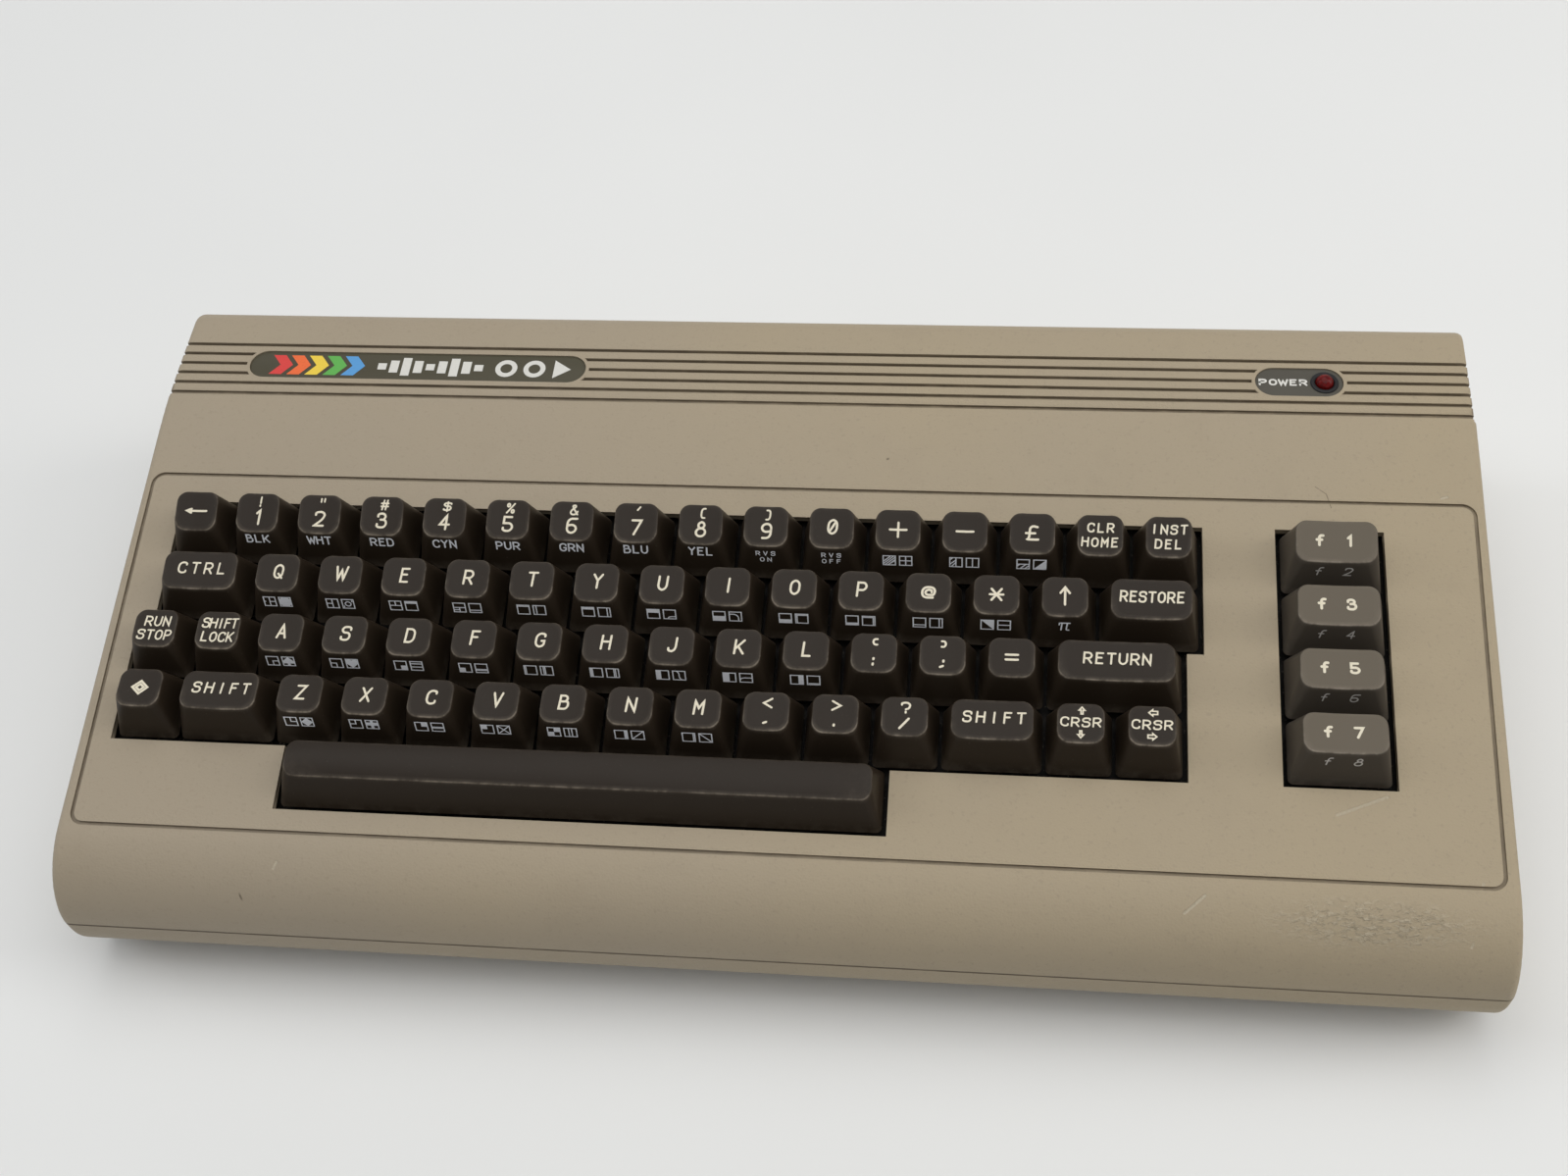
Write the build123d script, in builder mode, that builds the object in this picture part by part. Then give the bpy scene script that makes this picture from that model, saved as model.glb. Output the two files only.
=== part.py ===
from build123d import *

import os
from collections import namedtuple
from math import cos, radians, sin, tan

# A home computer with its keyboard built in. Millimetres. X to the right, Y to the rear, Z up.
# The origin is on the table, under the middle of the case.

# ---- Case, driving dimensions ----
case_width = 404.0  # across the seam, where the case is widest
case_depth = 202.0  # front of the nose to the rear seam
case_height = 75.0  # table to the level top
foot_height = 3.0
seam_height = 27.0  # table to the line where the two halves meet
case_wall = 2.5
side_draft = 2.5  # degrees off upright
rear_draft = 4.0  # degrees off upright, upper half only
panel_tilt = 10.0  # degrees off level
nose_radius = 23.7
chin_radius = 20.5
crown_tangent = 12.0  # how far the curve between panel and level top reaches each way
rear_top_radius = 8.5
rear_bottom_radius = 4.0
side_edge_radius = 2.4
seam_line = 0.4  # width of the dark line left between the halves
seam_line_depth = 0.8

# ---- Panel and rear band ----
groove_width = 1.1
groove_depth = 0.8
groove_side_inset = 5.0
groove_front = 1.0  # behind the line where nose and panel meet
groove_length = 113.0
groove_corner_radius = 3.0
rib_groove_count = 6
rib_groove_pitch = 4.0
rib_groove_width = 1.3
rib_groove_depth = 1.1
rib_first_groove = 20.5  # rear seam to the rearmost groove
rib_side_run = 9.0  # how far the grooves reach down the side walls
band_step = 0.7  # how far the sides draw in behind the foremost groove
badge_height = 11.0
badge_rim = 1.0
badge_recess = 1.0
badge_thickness = 0.7
name_badge_length = 108.7
name_badge_centre = -121.5
power_badge_length = 25.8
power_badge_centre = 149.9
lamp_radius = 2.7
lamp_flange_radius = 3.1
lamp_flange_height = 1.0
lamp_standing_height = 2.6  # top of the dome above the badge plate
lamp_body_height = 8.6
lamp_bezel_radius = 4.1
lamp_bezel_lip = 0.5
lamp_lead_radius = 0.6
lamp_lead_spacing = 2.5
lamp_plug_depth = 4.0
lamp_plug_height = 8.0

# ---- Keyboard ----
key_pitch = 19.05
key_gap = 0.85
keyboard_left = -185.2  # left side of the first key of the rear row
first_row_distance = 94.35  # front of the panel to the middle of the rear row
function_gap = 22.2  # between the rear row and the function keys
well_clearance = 0.9  # around the keys' cells
key_side_slope = 2.75
key_front_slope = 5.0
key_rear_slope = 1.7
key_corner_radius = 2.4
key_skirt = 2.0  # below the panel
key_shell = 1.3
key_top_shell = 2.0
key_dish = 0.55
key_travel = 4.0
row_heights = (11.2, 10.1, 10.1, 11.0, 9.2)  # keytops above the panel, rear row first
row_tilts = (11.0, 4.0, 0.0, -4.0, 0.0)  # degrees, positive leans to the user
space_front_slope = 6.3
space_rear_slope = 1.9
space_crown = 0.8
plunger_radius = 3.0
plunger_reach = 9.2  # below the panel
guide_clearance = 0.3
guide_wall = 1.3
guide_top = 0.3  # above the panel
spring_wall = 0.8
spring_clearance = 0.65  # under a pressed keytop
space_spring_top = 1.2  # above the panel, where the slanting front of the space bar leaves it room
space_guide_spacing = 110.0
frame_drop = 6.5  # panel to the top of the key frame
frame_plate = 3.0
frame_rim = 2.0
frame_side_margin = 3.0
frame_rear_margin = 9.0
contact_gap = 0.4  # between a pressed plunger and the key board
key_board_thickness = 1.6
post_radius = 3.5
post_inset = 5.0  # from the edge of the well to the middle of a rear post
front_post_inset = 11.0  # from the edge of row four to the middle of a front post
board_boss_radius = 2.3
ribbon_width = 52.0
ribbon_thickness = 1.2
ribbon_centre = -112.0
ribbon_gap = 0.05  # between the cable's end and the key board
ribbon_plug_height = 8.0
ribbon_plug_depth = 5.0
ribbon_bend = 6.0

# ---- Fasteners ----
small_screw_radius = 1.2
small_screw_head_radius = 2.3
small_screw_head_height = 1.4
small_screw_length = 6.0
case_screw_radius = 1.5
case_screw_head_radius = 3.0
case_screw_head_height = 2.0
thread_clearance = 0.05
shank_clearance = 0.3
screw_slot_width = 0.6
screw_slot_depth = 0.7

# ---- Main board ----
board_height = 14.0  # table to its underside
board_thickness = 1.6
board_left_gap = 20.0  # side of the case to the board's left edge
board_right_gap = 6.0
board_depth = 152.0
board_rear_gap = 5.0  # rear seam to the board's rear edge
board_standoff_radius = 3.6
board_standoff_inset = 8.0
tongue_notch_width = 3.0
tongue_notch_depth = 11.0
chip_height = 3.8
chip_lift = 0.6
chip_leg = 0.35
chip_end = 1.0  # end of the block to its first leg
can_height = 16.0
can_radius = 6.5
can_edge_radius = 0.8
# Each chip's place is taken from the board's middle, and its last value tells whether it is turned
Chip = namedtuple("Chip", "x y length width turned")
small_chip = (19.0, 6.6)
medium_chip = (36.0, 14.0)
large_chip = (52.0, 14.0)
chips = (
    [Chip(-167 + 14 * step, -52, *small_chip, True) for step in range(8)]
    + [Chip(-99 + 24 * step, 32, *small_chip, False) for step in range(3)]
    + [Chip(-27, y, *large_chip, False) for y in (-50, -24, 2)]
    + [Chip(41, y, *medium_chip, False) for y in (-52, -6)]
    + [Chip(41, -28, *large_chip, False)]
    + [Chip(105, y, *large_chip, False) for y in (-50, -22)]
    + [Chip(105, y, *small_chip, False) for y in (6, 22)]
)
left_cans = ((12, 0), (12, 20))  # from the board's left edge and its middle
right_cans = ((-46, 26), (-46, 42), (-28, 26), (-24, -10))  # from its right edge and its middle

# ---- Ports ----
port_clearance = 0.5
port_setback = 0.6  # how far a socket's face lies behind the outer wall
tongue_port_height = 12.0
user_port_centre = -138.0
user_port_width = 56.0
cassette_port_centre = -88.0
cassette_port_width = 31.0
din_width = 18.0
din_height = 17.6
din_depth = 15.0
din_shield_radius = 7.2
din_shield_gap = 1.1
din_insert_radius = 6.0
din_pin_radius = 0.75
din_pin_circle = 3.5
din_pin_count = 5
serial_centre = -56.0
video_centre = -30.0
modulator_centre = 16.0
modulator_width = 46.0
modulator_depth = 58.0
modulator_height = 20.0
modulator_wall = 0.8
selector_pocket_width = 18.0
selector_pocket_depth = 8.0
jack_offset = 12.0
jack_radius = 4.2
jack_bore_radius = 1.7
selector_offset = -13.0
selector_travel = 4.0
selector_size = 3.2
selector_length = 7.0
selector_plate = 1.4
selector_play = 0.1
cartridge_centre = 104.0
cartridge_width = 72.0
cartridge_height = 15.0
cartridge_depth = 13.0
cartridge_setback = 14.0  # wall to the socket's face
cartridge_slot_width = 60.0
cartridge_slot_height = 2.2
cartridge_slot_depth = 8.5
cartridge_window_margin = 2.0
control_port_distances = (141.0, 103.0)  # rear seam to the middle of each port
control_width = 31.0
control_height = 12.6
control_depth = 12.0
control_shell_width = 17.0
control_shell_height = 8.6
control_shell_reach = 5.8
control_shell_wall = 0.5
control_shell_flank = 80.0  # degrees
control_pin_radius = 0.5
control_pin_pitch = 2.77
power_switch_distance = 67.0
switch_width = 23.0
switch_height = 15.0
switch_depth = 18.0
switch_wall = 1.7
switch_pocket_depth = 11.0
rocker_swing = 12.0  # degrees between off and on
rocker_half_length = 8.4
rocker_foot_half_length = 5.0
rocker_rise = 3.2  # pivot to the middle of the rocker's face
rocker_foot = 2.6  # pivot to the rocker's inner face
rocker_pivot_depth = 4.6  # below the housing's face
rocker_pin_radius = 1.3
rocker_pin_clearance = 0.3
rocker_end_clearance = 0.15
rocker_side_clearance = 0.4
power_socket_distance = 37.0

# ---- Underside ----
foot_radius = 7.0
foot_recess = 1.0
foot_stud_radius = 2.2
foot_stud_length = 3.6
foot_side_inset = 26.0
foot_front_inset = 34.0
foot_rear_inset = 20.0
case_screw_side_inset = 42.0
case_screw_front_inset = 15.0
case_boss_radius = 4.2
vent_slot_width = 3.0
vent_slot_length = 34.0
vent_slot_pitch = 7.5
vent_slot_count = 14
vent_columns = 2
vent_column_spacing = 150.0
vent_centre_y = 30.0
tab_width = 10.0
tab_thickness = 1.5
tab_drop = 5.0
tab_clearance = 0.6
tab_centres = (-174.0, -13.0, 52.5, 160.0)

# ---- Places worked out from the sizes above ----
tilt = radians(panel_tilt)
front_y = -case_depth / 2
rear_y = case_depth / 2
panel_front_y = front_y + nose_radius * (1 - sin(tilt))
panel_front_z = seam_height + nose_radius * cos(tilt)
crown_y = panel_front_y + (case_height - panel_front_z) / tan(tilt)
crown_radius = crown_tangent / tan(tilt / 2)
rear_top_y = rear_y - (case_height - seam_height) * tan(radians(rear_draft))
lower_draw = (seam_height - foot_height) * tan(radians(side_draft))
upper_draw = (case_height - seam_height) * tan(radians(side_draft))
floor_top = foot_height + case_wall
board_left = board_left_gap - case_width / 2
board_right = case_width / 2 - board_right_gap
board_rear = rear_y - board_rear_gap
board_front = board_rear - board_depth
board_top = board_height + board_thickness
board_middle = ((board_left + board_right) / 2, (board_front + board_rear) / 2)
control_port_centres = tuple(rear_y - distance for distance in control_port_distances)
power_switch_centre = rear_y - power_switch_distance
power_socket_centre = rear_y - power_socket_distance
panel = Plane(
    origin=(0, panel_front_y, panel_front_z),
    x_dir=(1, 0, 0),
    z_dir=(0, -sin(tilt), cos(tilt)),
)
level_top = Plane.XY.offset(case_height)
seam_plane = Plane.XY.offset(seam_height)
frame_top = -frame_drop
frame_underside = frame_top - frame_plate
key_board_top = -plunger_reach - key_travel - contact_gap
key_board_underside = key_board_top - key_board_thickness
guide_bore = plunger_radius + guide_clearance
guide_radius = guide_bore + guide_wall
spring_radius = guide_bore + spring_wall
plunger_offset = (key_front_slope - key_rear_slope) / 2  # behind the middle of a key's cell
badge_centre_y = rear_y - rib_first_groove - 2 * rib_groove_pitch
badge_floor = case_height - badge_recess
badge_face = badge_floor + badge_thickness
lamp_x = power_badge_centre + power_badge_length / 2 - badge_height / 2
case_screw_x = case_width / 2 - case_screw_side_inset
case_screw_y = front_y + case_screw_front_inset

# ---- Keys ----
# A key has the node that it belongs to, its middle on the panel, its width in pitches and its row.
Key = namedtuple("Key", "node x y units row")
row_starts = (0.0, 0.0, -0.25, -0.25, 2.5)


def letters(word):
    """One pitch-wide key of its own for each letter."""
    return [("key_" + letter, 1) for letter in word]


row_keys = (
    [("symbol_keys", 1)] + [("digit_keys", 1)] * 10 + [("symbol_keys", 1)] * 3 + [("command_keys", 1)] * 2,
    [("command_keys", 1.5)] + letters("qwertyuiop") + [("symbol_keys", 1)] * 3 + [("command_keys", 1.5)],
    [("command_keys", 1), ("shift_lock_key", 1)] + letters("asdfghjkl") + [("symbol_keys", 1)] * 3 + [("return_key", 2)],
    [("command_keys", 1), ("left_shift_key", 1.5)] + letters("zxcvbnm") + [("symbol_keys", 1)] * 3
    + [("right_shift_key", 1.5), ("cursor_keys", 1), ("cursor_keys", 1)],
    [("space_bar", 9)],
)
function_units = 1.5
function_rows = 4
space_row = 4


def row_y(row):
    """Middle of a row, up the panel."""
    return first_row_distance - row * key_pitch


def row_right(row):
    """Right side of a row's last key."""
    return keyboard_left + (row_starts[row] + sum(units for _, units in row_keys[row])) * key_pitch


function_left = row_right(0) + function_gap
function_right = function_left + function_units * key_pitch


def lay_out_keys():
    """Every key of the keyboard."""
    keys = []
    for row, row_of_keys in enumerate(row_keys):
        x = keyboard_left + row_starts[row] * key_pitch
        for node, units in row_of_keys:
            keys.append(Key(node, x + units * key_pitch / 2, row_y(row), units, row))
            x += units * key_pitch
    for row in range(function_rows):
        middle = (function_left + function_right) / 2
        keys.append(Key("function_keys", middle, row_y(row), function_units, row))
    return keys


keys = lay_out_keys()


def guide_places(key):
    """Where a key is guided, on the panel: under its top, and near both ends of the space bar."""
    y = key.y + plunger_offset
    if key.row == space_row:
        return [(key.x + side * space_guide_spacing / 2, y) for side in (-1, 0, 1)]
    return [(key.x, y)]


def key_sizes(units, row):
    """Base width and depth, and top width, depth and offset to the rear, of a keycap."""
    front, rear = key_front_slope, key_rear_slope
    if row == space_row:
        front, rear = space_front_slope, space_rear_slope
    base_width = units * key_pitch - key_gap
    base_depth = key_pitch - key_gap
    return base_width, base_depth, base_width - 2 * key_side_slope, base_depth - front - rear, (front - rear) / 2


def keytop_plane(row, offset_y):
    """The plane of a row's keytops, for a key standing at the origin."""
    lean = radians(row_tilts[row])
    return Plane(origin=(0, offset_y, row_heights[row]), x_dir=(1, 0, 0), z_dir=(0, -sin(lean), cos(lean)))


def slanted_block(width, depth, top, top_width, top_depth):
    """A block with four flat slanting sides, from the skirt's lower edge to a plane that may lean."""
    low, y, high = -key_skirt, top.origin.Y, top.origin.Z
    half_y, half_z = top.y_dir.Y * top_depth / 2, top.y_dir.Z * top_depth / 2
    over = top_depth / 2
    narrow = top_width / 2 - (width - top_width) / 2 * over / (high - low)
    with BuildPart() as block:
        with BuildSketch(Plane.YZ):
            with BuildLine():
                Polyline(
                    (-depth / 2, low),
                    (depth / 2, low),
                    (y + half_y, high + half_z),
                    (y - half_y, high - half_z),
                    close=True,
                )
            make_face()
        extrude(amount=width, both=True)
        with BuildSketch(Plane.XZ):
            with BuildLine():
                Polyline(
                    (-width / 2, low),
                    (width / 2, low),
                    (narrow, high + over),
                    (-narrow, high + over),
                    close=True,
                )
            make_face()
        extrude(amount=depth, both=True, mode=Mode.INTERSECT)
    return block.part


def keycap(units, row):
    """A hollow keycap with its plunger, standing on the panel's surface at the origin."""
    base_width, base_depth, top_width, top_depth, offset_y = key_sizes(units, row)
    top = keytop_plane(row, offset_y)
    ceiling = top.offset(-key_top_shell)
    with BuildPart() as cap:
        add(slanted_block(base_width, base_depth, top, top_width, top_depth))
        corners = [edge for edge in cap.edges() if abs(edge.tangent_at(0).Z) > cos(radians(45))]
        fillet(corners, key_corner_radius)
        if row == space_row:
            crown = (top_depth / 2) ** 2 / (2 * space_crown)
            with BuildSketch(Plane.YZ.offset(-base_width)):
                with Locations((offset_y, row_heights[row] - crown)):
                    Circle(crown)
            extrude(amount=2 * base_width, mode=Mode.INTERSECT)
        else:
            dish = (top_width / 2) ** 2 / (2 * key_dish) + key_dish / 2
            with Locations(top.offset(dish - key_dish)):
                Cylinder(dish, 2 * base_depth, rotation=(90, 0, 0), mode=Mode.SUBTRACT)
        inner = (base_width - 2 * key_shell, base_depth - 2 * key_shell)
        inner_top = (top_width - 2 * key_shell, top_depth - 2 * key_shell)
        add(slanted_block(*inner, ceiling, *inner_top), mode=Mode.SUBTRACT)
        stem_height = row_heights[row] - key_top_shell + plunger_reach
        with BuildSketch(Plane.XY.offset(-plunger_reach)):
            with Locations(*guide_places(Key("", 0, 0, units, row))):
                Circle(plunger_radius)
        extrude(amount=stem_height + key_top_shell / 3)
    return cap.part


def key_node(node, caps):
    """All the keycaps of one node in their places."""
    with BuildPart() as group:
        for key in keys:
            if key.node != node:
                continue
            shape = (key.units, key.row)
            if shape not in caps:
                caps[shape] = keycap(*shape)
            with Locations(panel.location * Location((key.x, key.y, 0))):
                add(caps[shape])
    group.part.label = node
    return group.part


def key_springs():
    """A spring around each plunger, on its guide, as short as it is under a pressed key."""
    with BuildPart() as springs:
        for key in keys:
            lean = radians(abs(row_tilts[key.row]))
            ceiling = row_heights[key.row] - key_top_shell / cos(lean) - tan(lean) * spring_radius
            top = ceiling - key_travel - spring_clearance
            if key.row == space_row:
                top = space_spring_top
            with BuildSketch(panel.offset(guide_top)):
                with Locations(*guide_places(key)):
                    Circle(spring_radius)
                    Circle(guide_bore, mode=Mode.SUBTRACT)
            extrude(amount=top - guide_top)
    springs.part.label = "key_springs"
    return springs.part


# ---- Case ----
def case_body(inset):
    """The whole case as one solid, with every face moved inwards by inset."""
    side_corners = {
        (front_y, panel_front_z - (panel_front_y - front_y) * tan(tilt)): nose_radius,
        (crown_y, case_height): crown_radius,
        (rear_top_y, case_height): rear_top_radius,
        (rear_y, seam_height): 0,
        (rear_y - lower_draw, foot_height): rear_bottom_radius,
        (front_y, foot_height): chin_radius,
    }
    half = case_width / 2
    with BuildPart() as body:
        with BuildSketch(Plane.YZ):
            with BuildLine():
                FilletPolyline(*side_corners.keys(), radius=list(side_corners.values()), close=True)
            make_face()
            if inset:
                offset(amount=-inset, kind=Kind.INTERSECTION)
        extrude(amount=case_width, both=True)
        with BuildSketch(Plane.XZ):
            with BuildLine():
                Polyline(
                    (-half + lower_draw, foot_height),
                    (half - lower_draw, foot_height),
                    (half, seam_height),
                    (half - upper_draw, case_height),
                    (-half + upper_draw, case_height),
                    (-half, seam_height),
                    close=True,
                )
            make_face()
            if inset:
                offset(amount=-inset, kind=Kind.INTERSECTION)
        extrude(amount=case_depth, both=True, mode=Mode.INTERSECT)
    return body.part


def case_half(keep):
    """The upper or lower half as a closed block with its long edges rounded."""
    with BuildPart() as half:
        add(case_body(0))
        split(bisect_by=seam_plane, keep=keep)
        walls = half.faces().sort_by(Axis.X)
        long_edges = [
            edge
            for wall in (walls[0], walls[-1])
            for edge in wall.edges()
            if abs(edge.center().Z - seam_height) > seam_line
        ]
        fillet(long_edges, side_edge_radius)
    return half.part


def well_outline():
    """The openings in the panel: one stepped well for the main keys, one for the function keys."""
    half_row = key_pitch / 2 + well_clearance
    for first, last in ((0, 1), (2, 3), (space_row, space_row)):
        left = keyboard_left + row_starts[last] * key_pitch - well_clearance
        right = row_right(last) + well_clearance
        low, high = row_y(last) - half_row, row_y(first) + half_row
        with Locations(((left + right) / 2, (low + high) / 2)):
            Rectangle(right - left, high - low)
    low, high = row_y(function_rows - 1) - half_row, row_y(0) + half_row
    with Locations(((function_left + function_right) / 2, (low + high) / 2)):
        Rectangle(function_right - function_left + 2 * well_clearance, high - low)


def rear_windows():
    """Middle X, lowest Z, width and height of each window in the rear wall."""
    tongue_low = board_height + board_thickness / 2 - tongue_port_height / 2
    jack_side = 2 * (jack_radius + port_clearance)
    selector_width = selector_size + selector_travel + 4 * port_clearance
    selector_height = selector_size + 4 * port_clearance
    modulator_middle = board_top + modulator_height / 2
    cartridge_side = cartridge_height + 2 * cartridge_window_margin
    return (
        (user_port_centre, tongue_low, user_port_width, tongue_port_height),
        (cassette_port_centre, tongue_low, cassette_port_width, tongue_port_height),
        (serial_centre, board_top, din_width + 2 * port_clearance, din_height + port_clearance),
        (video_centre, board_top, din_width + 2 * port_clearance, din_height + port_clearance),
        (modulator_centre + jack_offset, modulator_middle - jack_side / 2, jack_side, jack_side),
        (
            modulator_centre + selector_offset,
            modulator_middle - selector_height / 2,
            selector_width,
            selector_height,
        ),
        (
            cartridge_centre,
            board_top + cartridge_height / 2 - cartridge_side / 2,
            cartridge_width + 2 * cartridge_window_margin,
            cartridge_side,
        ),
    )


def side_windows():
    """Middle Y, lowest Z, width and height of each window in the right-hand wall."""
    control = (board_top, control_width + 2 * port_clearance, control_height + port_clearance)
    switch = (board_top, switch_width + 2 * port_clearance, switch_height + port_clearance)
    power = (board_top, din_width + 2 * port_clearance, din_height + port_clearance)
    return tuple((y, *control) for y in control_port_centres) + (
        (power_switch_centre, *switch),
        (power_socket_centre, *power),
    )


def window_cutters():
    """A block through the wall for each port's window."""
    reach = 4 * case_wall
    with BuildPart() as cutters:
        for x, low, width, height in rear_windows():
            with Locations((x, rear_y - case_wall / 2, low + height / 2)):
                Box(width, reach, height)
        for y, low, width, height in side_windows():
            with Locations((case_width / 2 - case_wall / 2, y, low + height / 2)):
                Box(reach, width, height)
    return cutters.part


def badge_outline(grow, mode=Mode.ADD):
    """Both badges' outlines on the level top, grown by grow all round."""
    for centre, length in ((name_badge_centre, name_badge_length), (power_badge_centre, power_badge_length)):
        with Locations((centre, badge_centre_y)):
            SlotOverall(length + 2 * grow, badge_height + 2 * grow, mode=mode)


def case_bosses(low, high):
    """The round bosses for the case screws between two heights, trimmed to the inside of the case."""
    with BuildPart() as bosses:
        with BuildSketch(Plane.XY.offset(low)):
            with Locations(*screw_places()):
                Circle(case_boss_radius)
        extrude(amount=high - low)
        add(case_body(case_wall / 2), mode=Mode.INTERSECT)
    return bosses.part


def seam_rebate():
    """The thin ring that is cut from the lower half's rim, which leaves the dark line at the seam."""
    with BuildPart() as ring:
        with BuildSketch(seam_plane):
            Rectangle(case_width + 2 * case_wall, case_depth + 2 * case_wall)
            Rectangle(case_width - 2 * seam_line_depth, case_depth - 2 * seam_line_depth, mode=Mode.SUBTRACT)
        extrude(amount=-seam_line)
    return ring.part


def keyboard_posts():
    """Where the key frame is screwed to the panel: four posts in front, four behind."""
    rear = row_y(0) + key_pitch / 2 + well_clearance + post_inset
    front = row_y(function_rows - 1) - key_pitch / 2 + well_clearance - front_post_inset
    space_left = keyboard_left + row_starts[space_row] * key_pitch
    gap_middle = row_right(0) + function_gap / 2
    function_middle = (function_left + function_right) / 2
    main_middle = (keyboard_left + row_right(0)) / 2
    return (
        (space_left - 1.5 * key_pitch, front),
        (row_right(space_row) + 1.5 * key_pitch, front),
        (row_right(3) - key_pitch / 2, front),
        (function_middle, front),
        (keyboard_left + 2 * key_pitch, rear),
        (main_middle, rear),
        (gap_middle, rear),
        (gap_middle, row_y(2)),
    )


def screw_places():
    """Where the three case screws stand, in plan."""
    return ((-case_screw_x, case_screw_y), (0, case_screw_y), (case_screw_x, case_screw_y))


def build_top_case():
    """Upper half: nose, tilted panel with the key wells, ribbed band, badge recesses and posts."""
    with BuildPart() as top:
        add(case_half(Keep.TOP))
        add(case_body(case_wall), mode=Mode.SUBTRACT)
        # Posts that the key frame hangs from
        with BuildSketch(panel.offset(frame_top)):
            with Locations(*keyboard_posts()):
                Circle(post_radius)
        extrude(amount=frame_drop - case_wall / 2)
        # Bosses that take the case screws
        add(case_bosses(seam_height, seam_height + nose_radius))
        # Tabs that keep the rear edges of the halves in line
        tab_front = rear_y - case_wall - tab_clearance - tab_thickness
        tab_root = rear_y - case_wall / 2
        with BuildSketch(Plane.XY.offset(seam_height - tab_drop)):
            with Locations(*((x, tab_front + tab_thickness / 2) for x in tab_centres)):
                Rectangle(tab_width, tab_thickness)
        extrude(amount=tab_drop)
        with BuildSketch(seam_plane):
            with Locations(*((x, (tab_front + tab_root) / 2) for x in tab_centres)):
                Rectangle(tab_width, tab_root - tab_front)
        extrude(amount=case_wall)
        # Wells for the keys
        with BuildSketch(panel.offset(-2 * case_wall)):
            well_outline()
        extrude(amount=4 * case_wall, mode=Mode.SUBTRACT)
        # The line that frames the panel
        groove_middle = (0, groove_front + groove_length / 2)
        groove_outer = case_width - 2 * groove_side_inset
        with BuildSketch(panel.offset(-groove_depth)):
            with Locations(groove_middle):
                RectangleRounded(
                    groove_outer + groove_width, groove_length + groove_width, groove_corner_radius + groove_width
                )
                RectangleRounded(
                    groove_outer - groove_width,
                    groove_length - groove_width,
                    groove_corner_radius,
                    mode=Mode.SUBTRACT,
                )
        extrude(amount=case_wall, mode=Mode.SUBTRACT)
        # Grooves across the rear band, which stop at the rims of the badges
        first_groove_y = rear_y - rib_first_groove
        middle_groove_y = first_groove_y - (rib_groove_count - 1) * rib_groove_pitch / 2
        with BuildSketch(level_top.offset(-rib_groove_depth)):
            with Locations((0, middle_groove_y)):
                with GridLocations(0, rib_groove_pitch, 1, rib_groove_count):
                    Rectangle(case_width + case_wall, rib_groove_width)
            badge_outline(badge_rim, Mode.SUBTRACT)
        extrude(amount=2 * rib_groove_depth, mode=Mode.SUBTRACT)
        # The same grooves down the side walls, and the step that the band makes there
        side_x = case_width / 2 - upper_draw
        last_groove_y = first_groove_y - (rib_groove_count - 1) * rib_groove_pitch
        for side in (-1, 1):
            with BuildSketch(level_top.offset(-rib_side_run)):
                with Locations((side * (side_x + case_wall - rib_groove_depth), middle_groove_y)):
                    with GridLocations(0, rib_groove_pitch, 1, rib_groove_count):
                        Rectangle(2 * case_wall, rib_groove_width)
            extrude(amount=rib_side_run + case_wall, mode=Mode.SUBTRACT)
            step_length = rear_y - last_groove_y + rib_groove_width
            with BuildSketch(level_top.offset(-rib_side_run)):
                with Locations((side * (side_x + case_wall - band_step), rear_y - step_length / 2)):
                    Rectangle(2 * case_wall, step_length)
            extrude(amount=rib_side_run + case_wall, mode=Mode.SUBTRACT)
        # Recesses for the badges and the lamp's hole
        with BuildSketch(Plane.XY.offset(badge_floor)):
            badge_outline(0)
        extrude(amount=badge_recess + case_wall, mode=Mode.SUBTRACT)
        with BuildSketch(Plane.XY.offset(case_height - 2 * case_wall)):
            with Locations((lamp_x, badge_centre_y)):
                Circle(lamp_flange_radius + thread_clearance)
        extrude(amount=3 * case_wall, mode=Mode.SUBTRACT)
        # Pilot holes
        with BuildSketch(panel.offset(frame_top)):
            with Locations(*keyboard_posts()):
                Circle(small_screw_radius + thread_clearance)
        extrude(amount=small_screw_length - frame_plate, mode=Mode.SUBTRACT)
        with BuildSketch(seam_plane):
            with Locations(*screw_places()):
                Circle(case_screw_radius + thread_clearance)
        extrude(amount=case_screw_grip() + case_wall / 2, mode=Mode.SUBTRACT)
        add(window_cutters(), mode=Mode.SUBTRACT)
    top.part.label = "top_case"
    return top.part


def case_screw_grip():
    """How far a case screw reaches above the seam."""
    return nose_radius / 3


def board_standoffs():
    """Where the main board rests on the lower half."""
    left = board_left + board_standoff_inset
    right = board_right - 2 * board_standoff_inset
    front = board_front + board_standoff_inset
    rear = board_rear - 2 * board_standoff_inset
    return ((left, front), (0, front), (right, front), (left, rear), (right, rear))


def foot_places():
    """Where the four feet stand, in plan."""
    x = case_width / 2 - foot_side_inset
    return tuple((sx * x, y) for sx in (-1, 1) for y in (front_y + foot_front_inset, rear_y - foot_rear_inset))


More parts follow.
